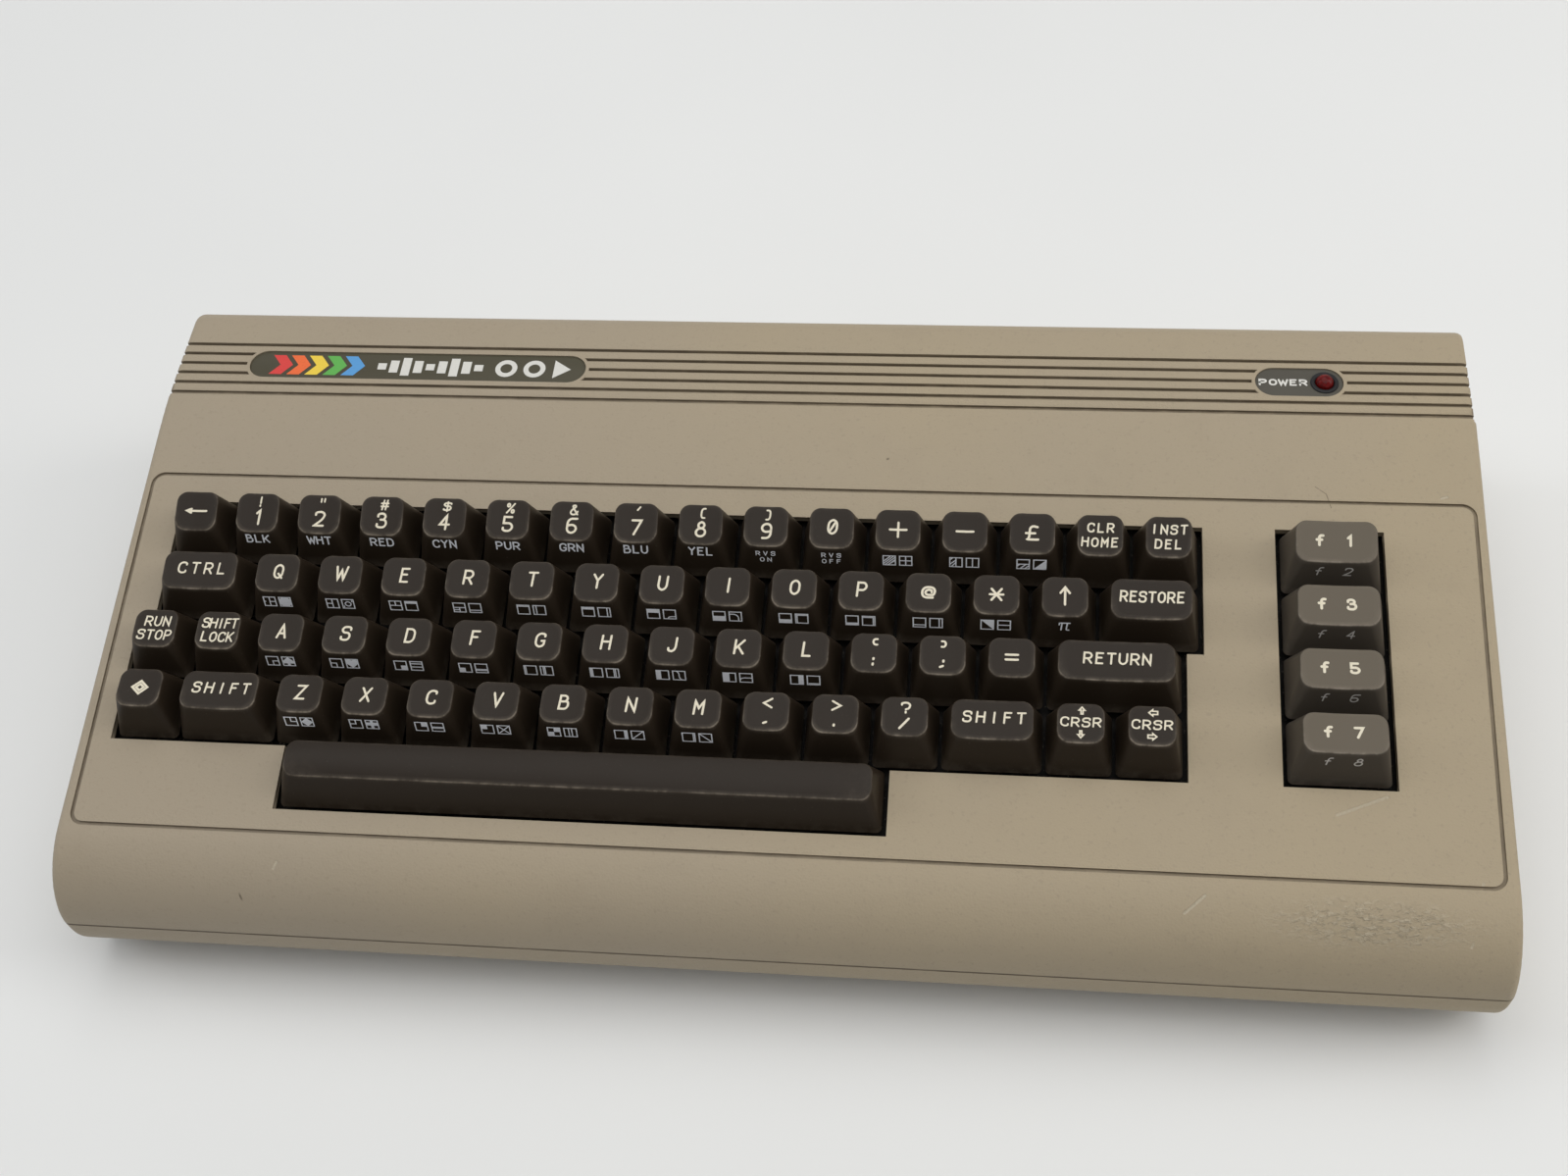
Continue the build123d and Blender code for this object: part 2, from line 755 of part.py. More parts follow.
def build_bottom_case():
    """Lower half: tray with vents, standoffs, screw sleeves and foot recesses."""
    with BuildPart() as bottom:
        add(case_half(Keep.BOTTOM))
        add(case_body(case_wall), mode=Mode.SUBTRACT)
        add(seam_rebate(), mode=Mode.SUBTRACT)
        # Standoffs for the board, and sleeves for the case screws trimmed to the tray
        with BuildSketch(Plane.XY.offset(floor_top - case_wall / 2)):
            with Locations(*board_standoffs()):
                Circle(board_standoff_radius)
        extrude(amount=board_height - floor_top + case_wall / 2)
        add(case_bosses(foot_height, seam_height))
        # Case screw holes with sunk heads
        with BuildSketch(Plane.XY):
            with Locations(*screw_places()):
                Circle(case_screw_radius + shank_clearance)
        extrude(amount=seam_height, mode=Mode.SUBTRACT)
        with BuildSketch(Plane.XY):
            with Locations(*screw_places()):
                Circle(case_screw_head_radius + shank_clearance)
        extrude(amount=case_screw_seat(), mode=Mode.SUBTRACT)
        # Pilot holes for the board's screws
        with BuildSketch(Plane.XY.offset(board_height)):
            with Locations(*board_standoffs()):
                Circle(small_screw_radius + thread_clearance)
        extrude(amount=-(small_screw_length - board_thickness), mode=Mode.SUBTRACT)
        # Recesses and stud holes for the feet
        with BuildSketch(Plane.XY):
            with Locations(*foot_places()):
                Circle(foot_radius + thread_clearance)
        extrude(amount=foot_height + foot_recess, mode=Mode.SUBTRACT)
        with BuildSketch(Plane.XY):
            with Locations(*foot_places()):
                Circle(foot_stud_radius + thread_clearance)
        extrude(amount=board_height, mode=Mode.SUBTRACT)
        # Vent slots
        with BuildSketch(Plane.XY):
            with Locations((0, vent_centre_y)):
                with GridLocations(vent_column_spacing, vent_slot_pitch, vent_columns, vent_slot_count // 2):
                    SlotOverall(vent_slot_length, vent_slot_width)
        extrude(amount=floor_top + case_wall, mode=Mode.SUBTRACT)
        add(window_cutters(), mode=Mode.SUBTRACT)
    bottom.part.label = "bottom_case"
    return bottom.part


def case_screw_seat():
    """Height of the seat that a case screw's head bears on."""
    return foot_height + 3 * case_screw_head_height


def slotted_screws(plane, places, radius, head_radius, head_height, length):
    """Slotted screws whose heads bear on plane and whose shanks run along its normal."""
    with BuildPart() as screws:
        with BuildSketch(plane):
            with Locations(*places):
                Circle(radius)
        extrude(amount=length)
        with BuildSketch(plane):
            with Locations(*places):
                Circle(head_radius)
        extrude(amount=-head_height)
        with BuildSketch(plane.offset(-head_height)):
            with Locations(*places):
                Rectangle(2 * head_radius, screw_slot_width)
        extrude(amount=screw_slot_depth, mode=Mode.SUBTRACT)
    return screws.part


def small_screws(plane, places):
    """Small slotted screws with their heads on plane."""
    return slotted_screws(
        plane, places, small_screw_radius, small_screw_head_radius, small_screw_head_height, small_screw_length
    )


def build_case_screws():
    """Three screws from the underside into the upper half."""
    seat = Plane.XY.offset(case_screw_seat())
    length = seam_height - case_screw_seat() + case_screw_grip()
    screws = slotted_screws(
        seat, screw_places(), case_screw_radius, case_screw_head_radius, case_screw_head_height, length
    )
    screws.label = "case_screws"
    return screws


def build_rubber_feet():
    """Four feet, each with a stud pulled through the tray."""
    with BuildPart() as feet:
        with BuildSketch(Plane.XY):
            with Locations(*foot_places()):
                Circle(foot_radius)
        extrude(amount=foot_height + foot_recess)
        rims = feet.edges().filter_by(GeomType.CIRCLE).group_by(Axis.Z)[0]
        chamfer(rims, foot_recess)
        with BuildSketch(Plane.XY.offset(foot_height)):
            with Locations(*foot_places()):
                Circle(foot_stud_radius)
        extrude(amount=foot_recess + foot_stud_length)
    feet.part.label = "rubber_feet"
    return feet.part


def build_badge(label, centre, length):
    """A plate with round ends that fills a badge recess."""
    with BuildPart() as badge:
        with BuildSketch(Plane.XY.offset(badge_floor)):
            with Locations((centre, badge_centre_y)):
                SlotOverall(length - 2 * thread_clearance, badge_height - 2 * thread_clearance)
        extrude(amount=badge_thickness)
        if label == "power_badge":
            with BuildSketch(Plane.XY.offset(badge_floor)):
                with Locations((lamp_x, badge_centre_y)):
                    Circle(lamp_bezel_radius + thread_clearance)
            extrude(amount=badge_thickness, mode=Mode.SUBTRACT)
    badge.part.label = label
    return badge.part


def build_power_lamp():
    """Lamp, its bezel, and its two leads down to a plug on the main board."""
    lamp_top = badge_face + lamp_standing_height
    lamp_base = lamp_top - lamp_body_height
    bezel_depth = badge_thickness + lamp_bezel_lip
    with BuildPart() as lamp:
        with Locations((lamp_x, badge_centre_y, lamp_base)):
            Cylinder(lamp_radius, lamp_body_height, align=(Align.CENTER, Align.CENTER, Align.MIN))
            Cylinder(lamp_flange_radius, lamp_flange_height, align=(Align.CENTER, Align.CENTER, Align.MIN))
        fillet(lamp.edges().group_by(Axis.Z)[-1], lamp_radius - thread_clearance)
        with BuildSketch(Plane.XY.offset(badge_floor)):
            with Locations((lamp_x, badge_centre_y)):
                Circle(lamp_bezel_radius)
                Circle(lamp_radius + thread_clearance, mode=Mode.SUBTRACT)
        extrude(amount=bezel_depth)
        with BuildSketch(Plane.XY.offset(board_top)):
            with Locations((lamp_x, badge_centre_y)):
                with GridLocations(lamp_lead_spacing, 0, 2, 1):
                    Circle(lamp_lead_radius)
        extrude(amount=lamp_base - board_top)
        with BuildSketch(Plane.XY.offset(board_top)):
            with Locations((lamp_x, badge_centre_y)):
                Rectangle(2 * lamp_lead_spacing + 2 * lamp_lead_radius, lamp_plug_depth)
        extrude(amount=lamp_plug_height)
    lamp.part.label = "power_lamp"
    return lamp.part


# ---- Keyboard ----
def frame_extent():
    """Left, right, front and rear of the key frame's plate, on the panel."""
    left = keyboard_left + row_starts[3] * key_pitch - frame_side_margin
    right = function_right + frame_side_margin
    front = row_y(space_row) - key_pitch / 2
    rear = row_y(0) + key_pitch / 2 + frame_rear_margin
    return left, right, front, rear


def board_extent():
    """Left, right, front and rear of the key board, inside the frame's rim."""
    left, right, front, rear = frame_extent()
    return left, right, front, row_y(0) + key_pitch / 2 + frame_rim


def extent_rectangle(extent, inset, mode=Mode.ADD):
    """A rectangle that fills an extent, less inset on every side."""
    left, right, front, rear = extent
    with Locations(((left + right) / 2, (front + rear) / 2)):
        Rectangle(right - left - 2 * inset, rear - front - 2 * inset, mode=mode)


def board_bosses():
    """Where the key board is screwed to the frame, between the rows."""
    xs = [keyboard_left + units * key_pitch for units in (1.5, 6.0, 10.5, 15.0)]
    lines = ((row_y(0) + row_y(1)) / 2, (row_y(2) + row_y(3)) / 2)
    return tuple((x, y) for x in xs for y in lines)


def hidden_posts():
    """The posts that stand over the key board, whose screws need holes in it."""
    rear_edge = board_extent()[3]
    return tuple(place for place in keyboard_posts() if place[1] < rear_edge)


def build_keyboard_frame():
    """The plate with a guide for every plunger, and a rim that the key board closes."""
    with BuildPart() as frame:
        with BuildSketch(panel.offset(frame_underside)):
            extent_rectangle(frame_extent(), 0)
        extrude(amount=frame_plate)
        with BuildSketch(panel.offset(key_board_top)):
            extent_rectangle(board_extent(), 0)
            extent_rectangle(board_extent(), frame_rim, Mode.SUBTRACT)
        extrude(amount=frame_underside - key_board_top)
        with BuildSketch(panel.offset(key_board_top)):
            with Locations(*board_bosses()):
                Circle(board_boss_radius)
        extrude(amount=frame_underside - key_board_top)
        guides = [place for key in keys for place in guide_places(key)]
        with BuildSketch(panel.offset(frame_underside)):
            with Locations(*guides):
                Circle(guide_radius)
        extrude(amount=guide_top - frame_underside)
        with BuildSketch(panel.offset(frame_underside)):
            with Locations(*guides):
                Circle(guide_bore)
        extrude(amount=guide_top - frame_underside, mode=Mode.SUBTRACT)
        with BuildSketch(panel.offset(frame_underside)):
            with Locations(*keyboard_posts()):
                Circle(small_screw_radius + shank_clearance)
        extrude(amount=frame_plate, mode=Mode.SUBTRACT)
        with BuildSketch(panel.offset(key_board_top)):
            with Locations(*board_bosses()):
                Circle(small_screw_radius + thread_clearance)
        extrude(amount=small_screw_length - key_board_thickness, mode=Mode.SUBTRACT)
    frame.part.label = "keyboard_frame"
    return frame.part


def build_keyboard_board():
    """The board with the key contacts, under the frame."""
    with BuildPart() as board:
        with BuildSketch(panel.offset(key_board_underside)):
            extent_rectangle(board_extent(), 0)
            with Locations(*board_bosses()):
                Circle(small_screw_radius + shank_clearance, mode=Mode.SUBTRACT)
            with Locations(*hidden_posts()):
                Circle(small_screw_head_radius + port_clearance, mode=Mode.SUBTRACT)
        extrude(amount=key_board_thickness)
    board.part.label = "keyboard_board"
    return board.part


def build_keyboard_screws():
    """Screws that hang the frame from the panel, and that hold the key board to the frame."""
    with BuildPart() as screws:
        add(small_screws(panel.offset(frame_underside), keyboard_posts()))
        add(small_screws(panel.offset(key_board_underside), board_bosses()))
    screws.part.label = "keyboard_screws"
    return screws.part


# ---- Main board and ports ----
def build_keyboard_cable():
    """The flat cable from the key board down to a plug on the main board."""
    start = panel.from_local_coords((0, row_y(1), key_board_underside))
    plug_top = board_top + ribbon_plug_height
    drop_y = start.Y + key_pitch
    top = start.Z - ribbon_thickness / 2 / cos(tilt) - ribbon_gap
    with BuildPart() as cable:
        with BuildSketch(Plane.YZ.offset(ribbon_centre - ribbon_width / 2)):
            with BuildLine():
                centre_line = FilletPolyline(
                    (start.Y, top),
                    (start.Y, top - 2 * ribbon_bend),
                    (drop_y, top - 2 * ribbon_bend),
                    (drop_y, plug_top),
                    radius=[ribbon_bend, ribbon_bend],
                )
                offset(centre_line, amount=ribbon_thickness / 2, side=Side.BOTH)
            make_face()
        extrude(amount=ribbon_width)
        with BuildSketch(Plane.XY.offset(board_top)):
            with Locations((ribbon_centre, drop_y)):
                Rectangle(ribbon_width, ribbon_plug_depth)
        extrude(amount=ribbon_plug_height)
    cable.part.label = "keyboard_cable"
    return cable.part


def build_main_board():
    """The board, with an edge tongue left between notches for each of the two edge ports."""
    with BuildPart() as board:
        with BuildSketch(Plane.XY.offset(board_height)):
            extent_rectangle((board_left, board_right, board_front, board_rear), 0)
            for centre, width in (
                (user_port_centre, user_port_width),
                (cassette_port_centre, cassette_port_width),
            ):
                notch_y = board_rear - tongue_notch_depth / 2
                for side in (-1, 1):
                    with Locations((centre + side * (width / 2 - tongue_notch_width), notch_y)):
                        Rectangle(tongue_notch_width, tongue_notch_depth, mode=Mode.SUBTRACT)
            with Locations(*board_standoffs()):
                Circle(small_screw_radius + shank_clearance, mode=Mode.SUBTRACT)
        extrude(amount=board_thickness)
    board.part.label = "main_board"
    return board.part


def build_board_screws():
    """Screws that hold the main board to the lower half."""
    with BuildPart() as screws:
        seat = Plane(origin=(0, 0, board_top), x_dir=(1, 0, 0), z_dir=(0, 0, -1))
        add(small_screws(seat, [(x, -y) for x, y in board_standoffs()]))
    screws.part.label = "board_screws"
    return screws.part


def build_chips():
    """Integrated circuits, each a block on two rows of legs."""
    with BuildPart() as circuits:
        for chip in chips:
            x, y = board_middle[0] + chip.x, board_middle[1] + chip.y
            rail = (chip.length - 2 * chip_end, chip_leg)
            reach = (chip.width - chip_leg) / 2
            turn = 90 if chip.turned else 0
            with BuildSketch(Plane.XY.offset(board_top + chip_lift)):
                with Locations(Location((x, y, 0), (0, 0, turn))):
                    Rectangle(chip.length, chip.width)
            extrude(amount=chip_height)
            with BuildSketch(Plane.XY.offset(board_top)):
                with Locations(Location((x, y, 0), (0, 0, turn))):
                    with Locations((0, -reach), (0, reach)):
                        Rectangle(*rail)
            extrude(amount=chip_lift)
    circuits.part.label = "integrated_circuits"
    return circuits.part


def build_capacitors():
    """Electrolytic cans standing on the board."""
    middle_y = board_middle[1]
    places = [(board_left + x, middle_y + y) for x, y in left_cans]
    places += [(board_right + x, middle_y + y) for x, y in right_cans]
    with BuildPart() as cans:
        with BuildSketch(Plane.XY.offset(board_top)):
            with Locations(*places):
                Circle(can_radius)
        extrude(amount=can_height)
        rims = cans.edges().filter_by(GeomType.CIRCLE).group_by(Axis.Z)[-1]
        fillet(rims, can_edge_radius)
    cans.part.label = "capacitors"
    return cans.part


def build_rf_modulator():
    """The screened box with its television jack, and a slot and pocket for its channel selector."""
    face_y = rear_y - case_wall - lower_draw - port_clearance
    low_y = face_y - modulator_depth
    middle_z = board_top + modulator_height / 2
    with BuildPart() as modulator:
        with Locations((modulator_centre, (low_y + face_y) / 2, middle_z)):
            Box(modulator_width, modulator_depth, modulator_height)
        pocket_y = face_y - modulator_wall - selector_pocket_depth / 2
        with Locations((modulator_centre + selector_offset, pocket_y, middle_z)):
            Box(
                selector_pocket_width,
                selector_pocket_depth,
                modulator_height - 2 * modulator_wall,
                mode=Mode.SUBTRACT,
            )
        with BuildSketch(Plane.XZ.offset(-face_y)):
            with Locations((modulator_centre + selector_offset, middle_z)):
                Rectangle(selector_size + selector_travel + port_clearance, selector_size + port_clearance)
            with Locations((modulator_centre + jack_offset, middle_z)):
                Circle(jack_bore_radius)
        extrude(amount=modulator_wall, mode=Mode.SUBTRACT)
        with BuildSketch(Plane.XZ.offset(-face_y)):
            with Locations((modulator_centre + jack_offset, middle_z)):
                Circle(jack_radius)
                Circle(jack_bore_radius, mode=Mode.SUBTRACT)
        extrude(amount=-(rear_y - port_setback - face_y))
    modulator.part.label = "rf_modulator"
    return modulator.part


def build_channel_selector():
    """The slide knob with the plate that keeps it inside the modulator."""
    face_y = rear_y - case_wall - lower_draw - port_clearance
    inner_y = face_y - modulator_wall - selector_play
    middle_z = board_top + modulator_height / 2
    x = modulator_centre + selector_offset - selector_travel / 2
    with BuildPart() as selector:
        with BuildSketch(Plane.XZ.offset(-(inner_y - selector_plate))):
            with Locations((x, middle_z)):
                Rectangle(selector_size + 2 * selector_travel, selector_size + selector_travel)
        extrude(amount=-selector_plate)
        with BuildSketch(Plane.XZ.offset(-inner_y)):
            with Locations((x, middle_z)):
                Rectangle(selector_size, selector_size)
        extrude(amount=-(face_y + case_wall - inner_y))
    selector.part.label = "channel_selector"
    return selector.part


def build_cartridge_socket():
    """The long edge socket behind the cartridge window."""
    front = rear_y - case_wall - cartridge_setback - cartridge_depth
    with BuildPart() as socket:
        with Locations((cartridge_centre, front, board_top)):
            Box(
                cartridge_width,
                cartridge_depth,
                cartridge_height,
                align=(Align.CENTER, Align.MIN, Align.MIN),
            )
        with Locations((cartridge_centre, front + cartridge_depth, board_top + cartridge_height / 2)):
            Box(
                cartridge_slot_width,
                2 * cartridge_slot_depth,
                cartridge_slot_height,
                mode=Mode.SUBTRACT,
            )
    socket.part.label = "cartridge_socket"
    return socket.part


def din_socket(face):
    """One round multi-pin socket, its face on the plane, its middle at the plane's origin."""
    with BuildPart() as socket:
        with BuildSketch(face):
            Rectangle(din_width, din_height)
        extrude(amount=-din_depth)
        with BuildSketch(face):
            Circle(din_shield_radius)
            Circle(din_insert_radius, mode=Mode.SUBTRACT)
        extrude(amount=-din_depth * 2 / 3, mode=Mode.SUBTRACT)
        with BuildSketch(face):
            with PolarLocations(din_pin_circle, din_pin_count, angular_range=180, endpoint=True):
                Circle(din_pin_radius)
        extrude(amount=-din_depth * 2 / 3, mode=Mode.SUBTRACT)
    return socket.part


def din_face_z():
    """Height of the middle of every round socket."""
    return board_top + din_height / 2


def build_din_sockets():
    """The serial and video sockets in the rear wall."""
    with BuildPart() as sockets:
        for x in (serial_centre, video_centre):
            face = Plane(origin=(x, rear_y - port_setback, din_face_z()), x_dir=(-1, 0, 0), z_dir=(0, 1, 0))
            add(din_socket(face))
    sockets.part.label = "din_sockets"
    return sockets.part


def side_face(y, z):
    """The plane of a port's face in the right-hand wall."""
    return Plane(origin=(case_width / 2 - port_setback, y, z), x_dir=(0, 1, 0), z_dir=(1, 0, 0))


def build_power_socket():
    """The round power socket in the right-hand wall."""
    with BuildPart() as socket:
        add(din_socket(side_face(power_socket_centre, din_face_z())))
    socket.part.label = "power_socket"
    return socket.part


def build_control_ports():
    """Two nine-pin control ports: a block, a slanted shell and its pins."""
    middle_z = board_top + control_height / 2
    pin_rows = ((5, control_pin_pitch / 2), (4, -control_pin_pitch / 2))
    with BuildPart() as ports:
        for y in control_port_centres:
            face = side_face(y, middle_z)
            block_face = face.offset(-control_shell_reach)
            with BuildSketch(block_face):
                Rectangle(control_width, control_height)
            extrude(amount=-control_depth)
            with BuildSketch(block_face) as shell:
                Trapezoid(control_shell_width, control_shell_height, control_shell_flank, rotation=180)
                fillet(shell.vertices(), 2 * control_shell_wall)
                offset(amount=-control_shell_wall, mode=Mode.SUBTRACT)
            extrude(amount=control_shell_reach)
            with BuildSketch(block_face):
                for count, height in pin_rows:
                    with Locations((0, height)):
                        with GridLocations(control_pin_pitch, 0, count, 1):
                            Circle(control_pin_radius)
            extrude(amount=control_shell_reach - control_shell_wall)
    ports.part.label = "control_ports"
    return ports.part


def switch_face():
    """The plane of the power switch's face."""
    return side_face(power_switch_centre, board_top + switch_height / 2)


def build_power_switch():
    """The switch housing, a pocket with holes for the rocker's pin."""
    face = switch_face()
    with BuildPart() as housing:
        with BuildSketch(face):
            Rectangle(switch_width, switch_height)
        extrude(amount=-switch_depth)
        with BuildSketch(face):
            Rectangle(switch_width - 2 * switch_wall, switch_height - 2 * switch_wall)
        extrude(amount=-switch_pocket_depth, mode=Mode.SUBTRACT)
        with Locations(rocker_pivot()):
            Cylinder(rocker_pin_radius + rocker_pin_clearance, switch_height - switch_wall, mode=Mode.SUBTRACT)
    housing.part.label = "power_switch"
    return housing.part


def rocker_pivot():
    """The middle of the rocker's pin, which stands upright."""
    face = switch_face()
    return (face.origin.X - rocker_pivot_depth, face.origin.Y, face.origin.Z)


def build_power_rocker():
    """The rocker at OFF, tipped by half its swing, with its pin."""
    x, y, z = rocker_pivot()
    rocker_height = switch_height - 2 * switch_wall - 2 * rocker_side_clearance
    hollow = rocker_rise - rocker_half_length * tan(radians(rocker_swing / 2))
    with BuildPart() as rocker:
        with BuildSketch(Plane(origin=(x, y, z - rocker_height / 2), x_dir=(1, 0, 0), z_dir=(0, 0, 1))):
            with BuildLine():
                Polyline(
                    (-rocker_foot, -rocker_foot_half_length),
                    (rocker_rise, -rocker_half_length),
                    (rocker_rise - hollow / 2, 0),
                    (rocker_rise, rocker_half_length),
                    (-rocker_foot, rocker_foot_half_length),
                    close=True,
                )
            make_face()
        extrude(amount=rocker_height)
        with Locations((x, y, z)):
            Cylinder(rocker_pin_radius, switch_height - switch_wall - 2 * rocker_end_clearance)
    tipped = rocker.part.rotate(Axis((x, y, z), (0, 0, 1)), rocker_swing / 2)
    tipped.label = "power_rocker"
    return tipped


def write(part):
    """Writes a finished piece under its own name."""
    export_step(part, f"parts/{part.label}.step")


def main():
    """Builds and writes every piece."""
    os.makedirs("parts", exist_ok=True)
    for build in (
        build_top_case,
        build_bottom_case,
        build_rubber_feet,
        build_case_screws,
        build_power_lamp,
        build_keyboard_frame,
        build_keyboard_board,
        build_keyboard_screws,
        build_keyboard_cable,
        build_main_board,
        build_board_screws,
        build_chips,
        build_capacitors,
        build_rf_modulator,
        build_channel_selector,
        build_cartridge_socket,
        build_din_sockets,
        build_power_socket,
        build_control_ports,
        build_power_switch,
        build_power_rocker,
        key_springs,
    ):
        write(build())
    write(build_badge("name_badge", name_badge_centre, name_badge_length))
    write(build_badge("power_badge", power_badge_centre, power_badge_length))
    caps = {}
    for node in dict.fromkeys(key.node for key in keys):
        write(key_node(node, caps))


main()
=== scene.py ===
"""The looks of a home computer with a built-in keyboard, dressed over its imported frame.

Lengths are in metres in the frame's own axes: X to the right, Y to the rear, Z up. The panel,
the keys, the badges and the lamp are worked out in millimetres, as their classes say. Each
sub-assembly is a class that builds its own pieces, and each finish is a small class that
makes one procedural material.
"""

from __future__ import annotations

import logging
import math
from collections.abc import Iterable, Sequence
from dataclasses import dataclass, field
from enum import Enum
from functools import cache
from typing import Any

import bmesh
import bpy
import numpy as np
from mathutils import Matrix, Vector


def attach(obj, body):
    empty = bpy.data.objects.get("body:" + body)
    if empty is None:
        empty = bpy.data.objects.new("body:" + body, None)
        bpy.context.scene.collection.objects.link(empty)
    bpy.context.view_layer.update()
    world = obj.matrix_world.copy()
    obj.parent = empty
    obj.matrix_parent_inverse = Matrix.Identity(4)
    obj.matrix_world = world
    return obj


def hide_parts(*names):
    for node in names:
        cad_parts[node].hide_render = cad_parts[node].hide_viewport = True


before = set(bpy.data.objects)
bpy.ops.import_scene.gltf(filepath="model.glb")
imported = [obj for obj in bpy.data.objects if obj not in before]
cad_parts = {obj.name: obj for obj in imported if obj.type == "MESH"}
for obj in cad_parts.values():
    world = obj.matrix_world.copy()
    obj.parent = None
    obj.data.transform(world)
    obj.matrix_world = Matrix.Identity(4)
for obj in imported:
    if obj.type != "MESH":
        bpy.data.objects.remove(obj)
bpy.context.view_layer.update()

log = logging.getLogger("home_computer")

MM = 0.001
CASE_BODY = "case"

Point = tuple[float, float]
Place = tuple[float, float, float]
Colour = tuple[float, float, float]
Face = tuple[int, ...]
Piece = bpy.types.Object
Material = bpy.types.Material
Settings = dict[str, Any] | None
Inputs = dict[Any, Any] | None
Edges = tuple[tuple[str, float, float], ...]


@dataclass(frozen=True)
class Panel:
    """The sloping panel, a plane with its own axes; its measures are in millimetres."""

    front_y: float = -81.4155
    front_z: float = 50.34
    tilt: float = math.radians(10.0)

    def point(self, x: float, y: float, z: float) -> Place:
        """Turns a point of the panel's own axes into one of the frame.

        Args:
            x: How far it is to the right of the middle.
            y: How far it is up the slope from the panel's front edge.
            z: How far it stands out of the panel.

        Returns:
            The point in metres.
        """
        return (
            x * MM,
            (self.front_y + y * math.cos(self.tilt) - z * math.sin(self.tilt)) * MM,
            (self.front_z + y * math.sin(self.tilt) + z * math.cos(self.tilt)) * MM,
        )


# --- Shader expressions ---


def add_node(tree: bpy.types.NodeTree, kind: str, settings: Settings, inputs: Inputs) -> bpy.types.Node:
    """Adds a node of any type to a shader tree or a geometry tree.

    Args:
        tree: The tree.
        kind: The node's type.
        settings: Its properties, which are set first.
        inputs: Values or links of its sockets, by name or by number.

    Returns:
        The node.
    """
    made = tree.nodes.new(kind)
    for key, setting in (settings or {}).items():
        setattr(made, key, setting)
    for key, given in (inputs or {}).items():
        source = given.socket if isinstance(given, Value) else given
        if isinstance(source, bpy.types.NodeSocket):
            tree.links.new(source, made.inputs[key])
        elif source is not None:
            made.inputs[key].default_value = source
    return made


class Value:
    """A node socket that Python's operators work on, by adding Math nodes."""

    def __init__(self, tree: Tree, socket: bpy.types.NodeSocket) -> None:
        """Wraps one output socket of a tree."""
        self.tree = tree
        self.socket = socket

    def __add__(self, other: Value | float) -> Value:
        """Sum."""
        return self.tree.math("ADD", self, other)

    __radd__ = __add__

    def __sub__(self, other: Value | float) -> Value:
        """Difference."""
        return self.tree.math("SUBTRACT", self, other)

    def __rsub__(self, other: float) -> Value:
        """Reflected difference, so that 1 - mask works."""
        return self.tree.math("SUBTRACT", other, self)

    def __mul__(self, other: Value | float) -> Value:
        """Product."""
        return self.tree.math("MULTIPLY", self, other)

    __rmul__ = __mul__

    def __abs__(self) -> Value:
        """Size without sign."""
        return self.tree.math("ABSOLUTE", self)

    def low(self, other: Value | float) -> Value:
        """The smaller of the two."""
        return self.tree.math("MINIMUM", self, other)

    def high(self, other: Value | float) -> Value:
        """The larger of the two."""
        return self.tree.math("MAXIMUM", self, other)

    def ramp(self, start: float, end: float, low: float = 0.0, high: float = 1.0) -> Value:
        """Maps start..end smoothly to low..high.

        Args:
            start: Input that gives low.
            end: Input that gives high.
            low: Result at start.
            high: Result at end.

        Returns:
            The mapped value, held at low and high outside the range.
        """
        return self.tree.node(
            "ShaderNodeMapRange",
            {"interpolation_type": "SMOOTHSTEP"},
            {"Value": self, "From Min": start, "From Max": end, "To Min": low, "To Max": high},
        )


@dataclass(frozen=True)
class Patches:
    """Scattered patches: noise that is cut off between two of its levels.

    The fineness is in features per metre. The cut holds the level that gives the first
    strength and the level that gives the second.
    """

    fineness: float
    detail: float = 3.0
    roughness: float = 0.5
    cut: Point = (0.3, 0.7)
    strength: Point = (0.0, 1.0)


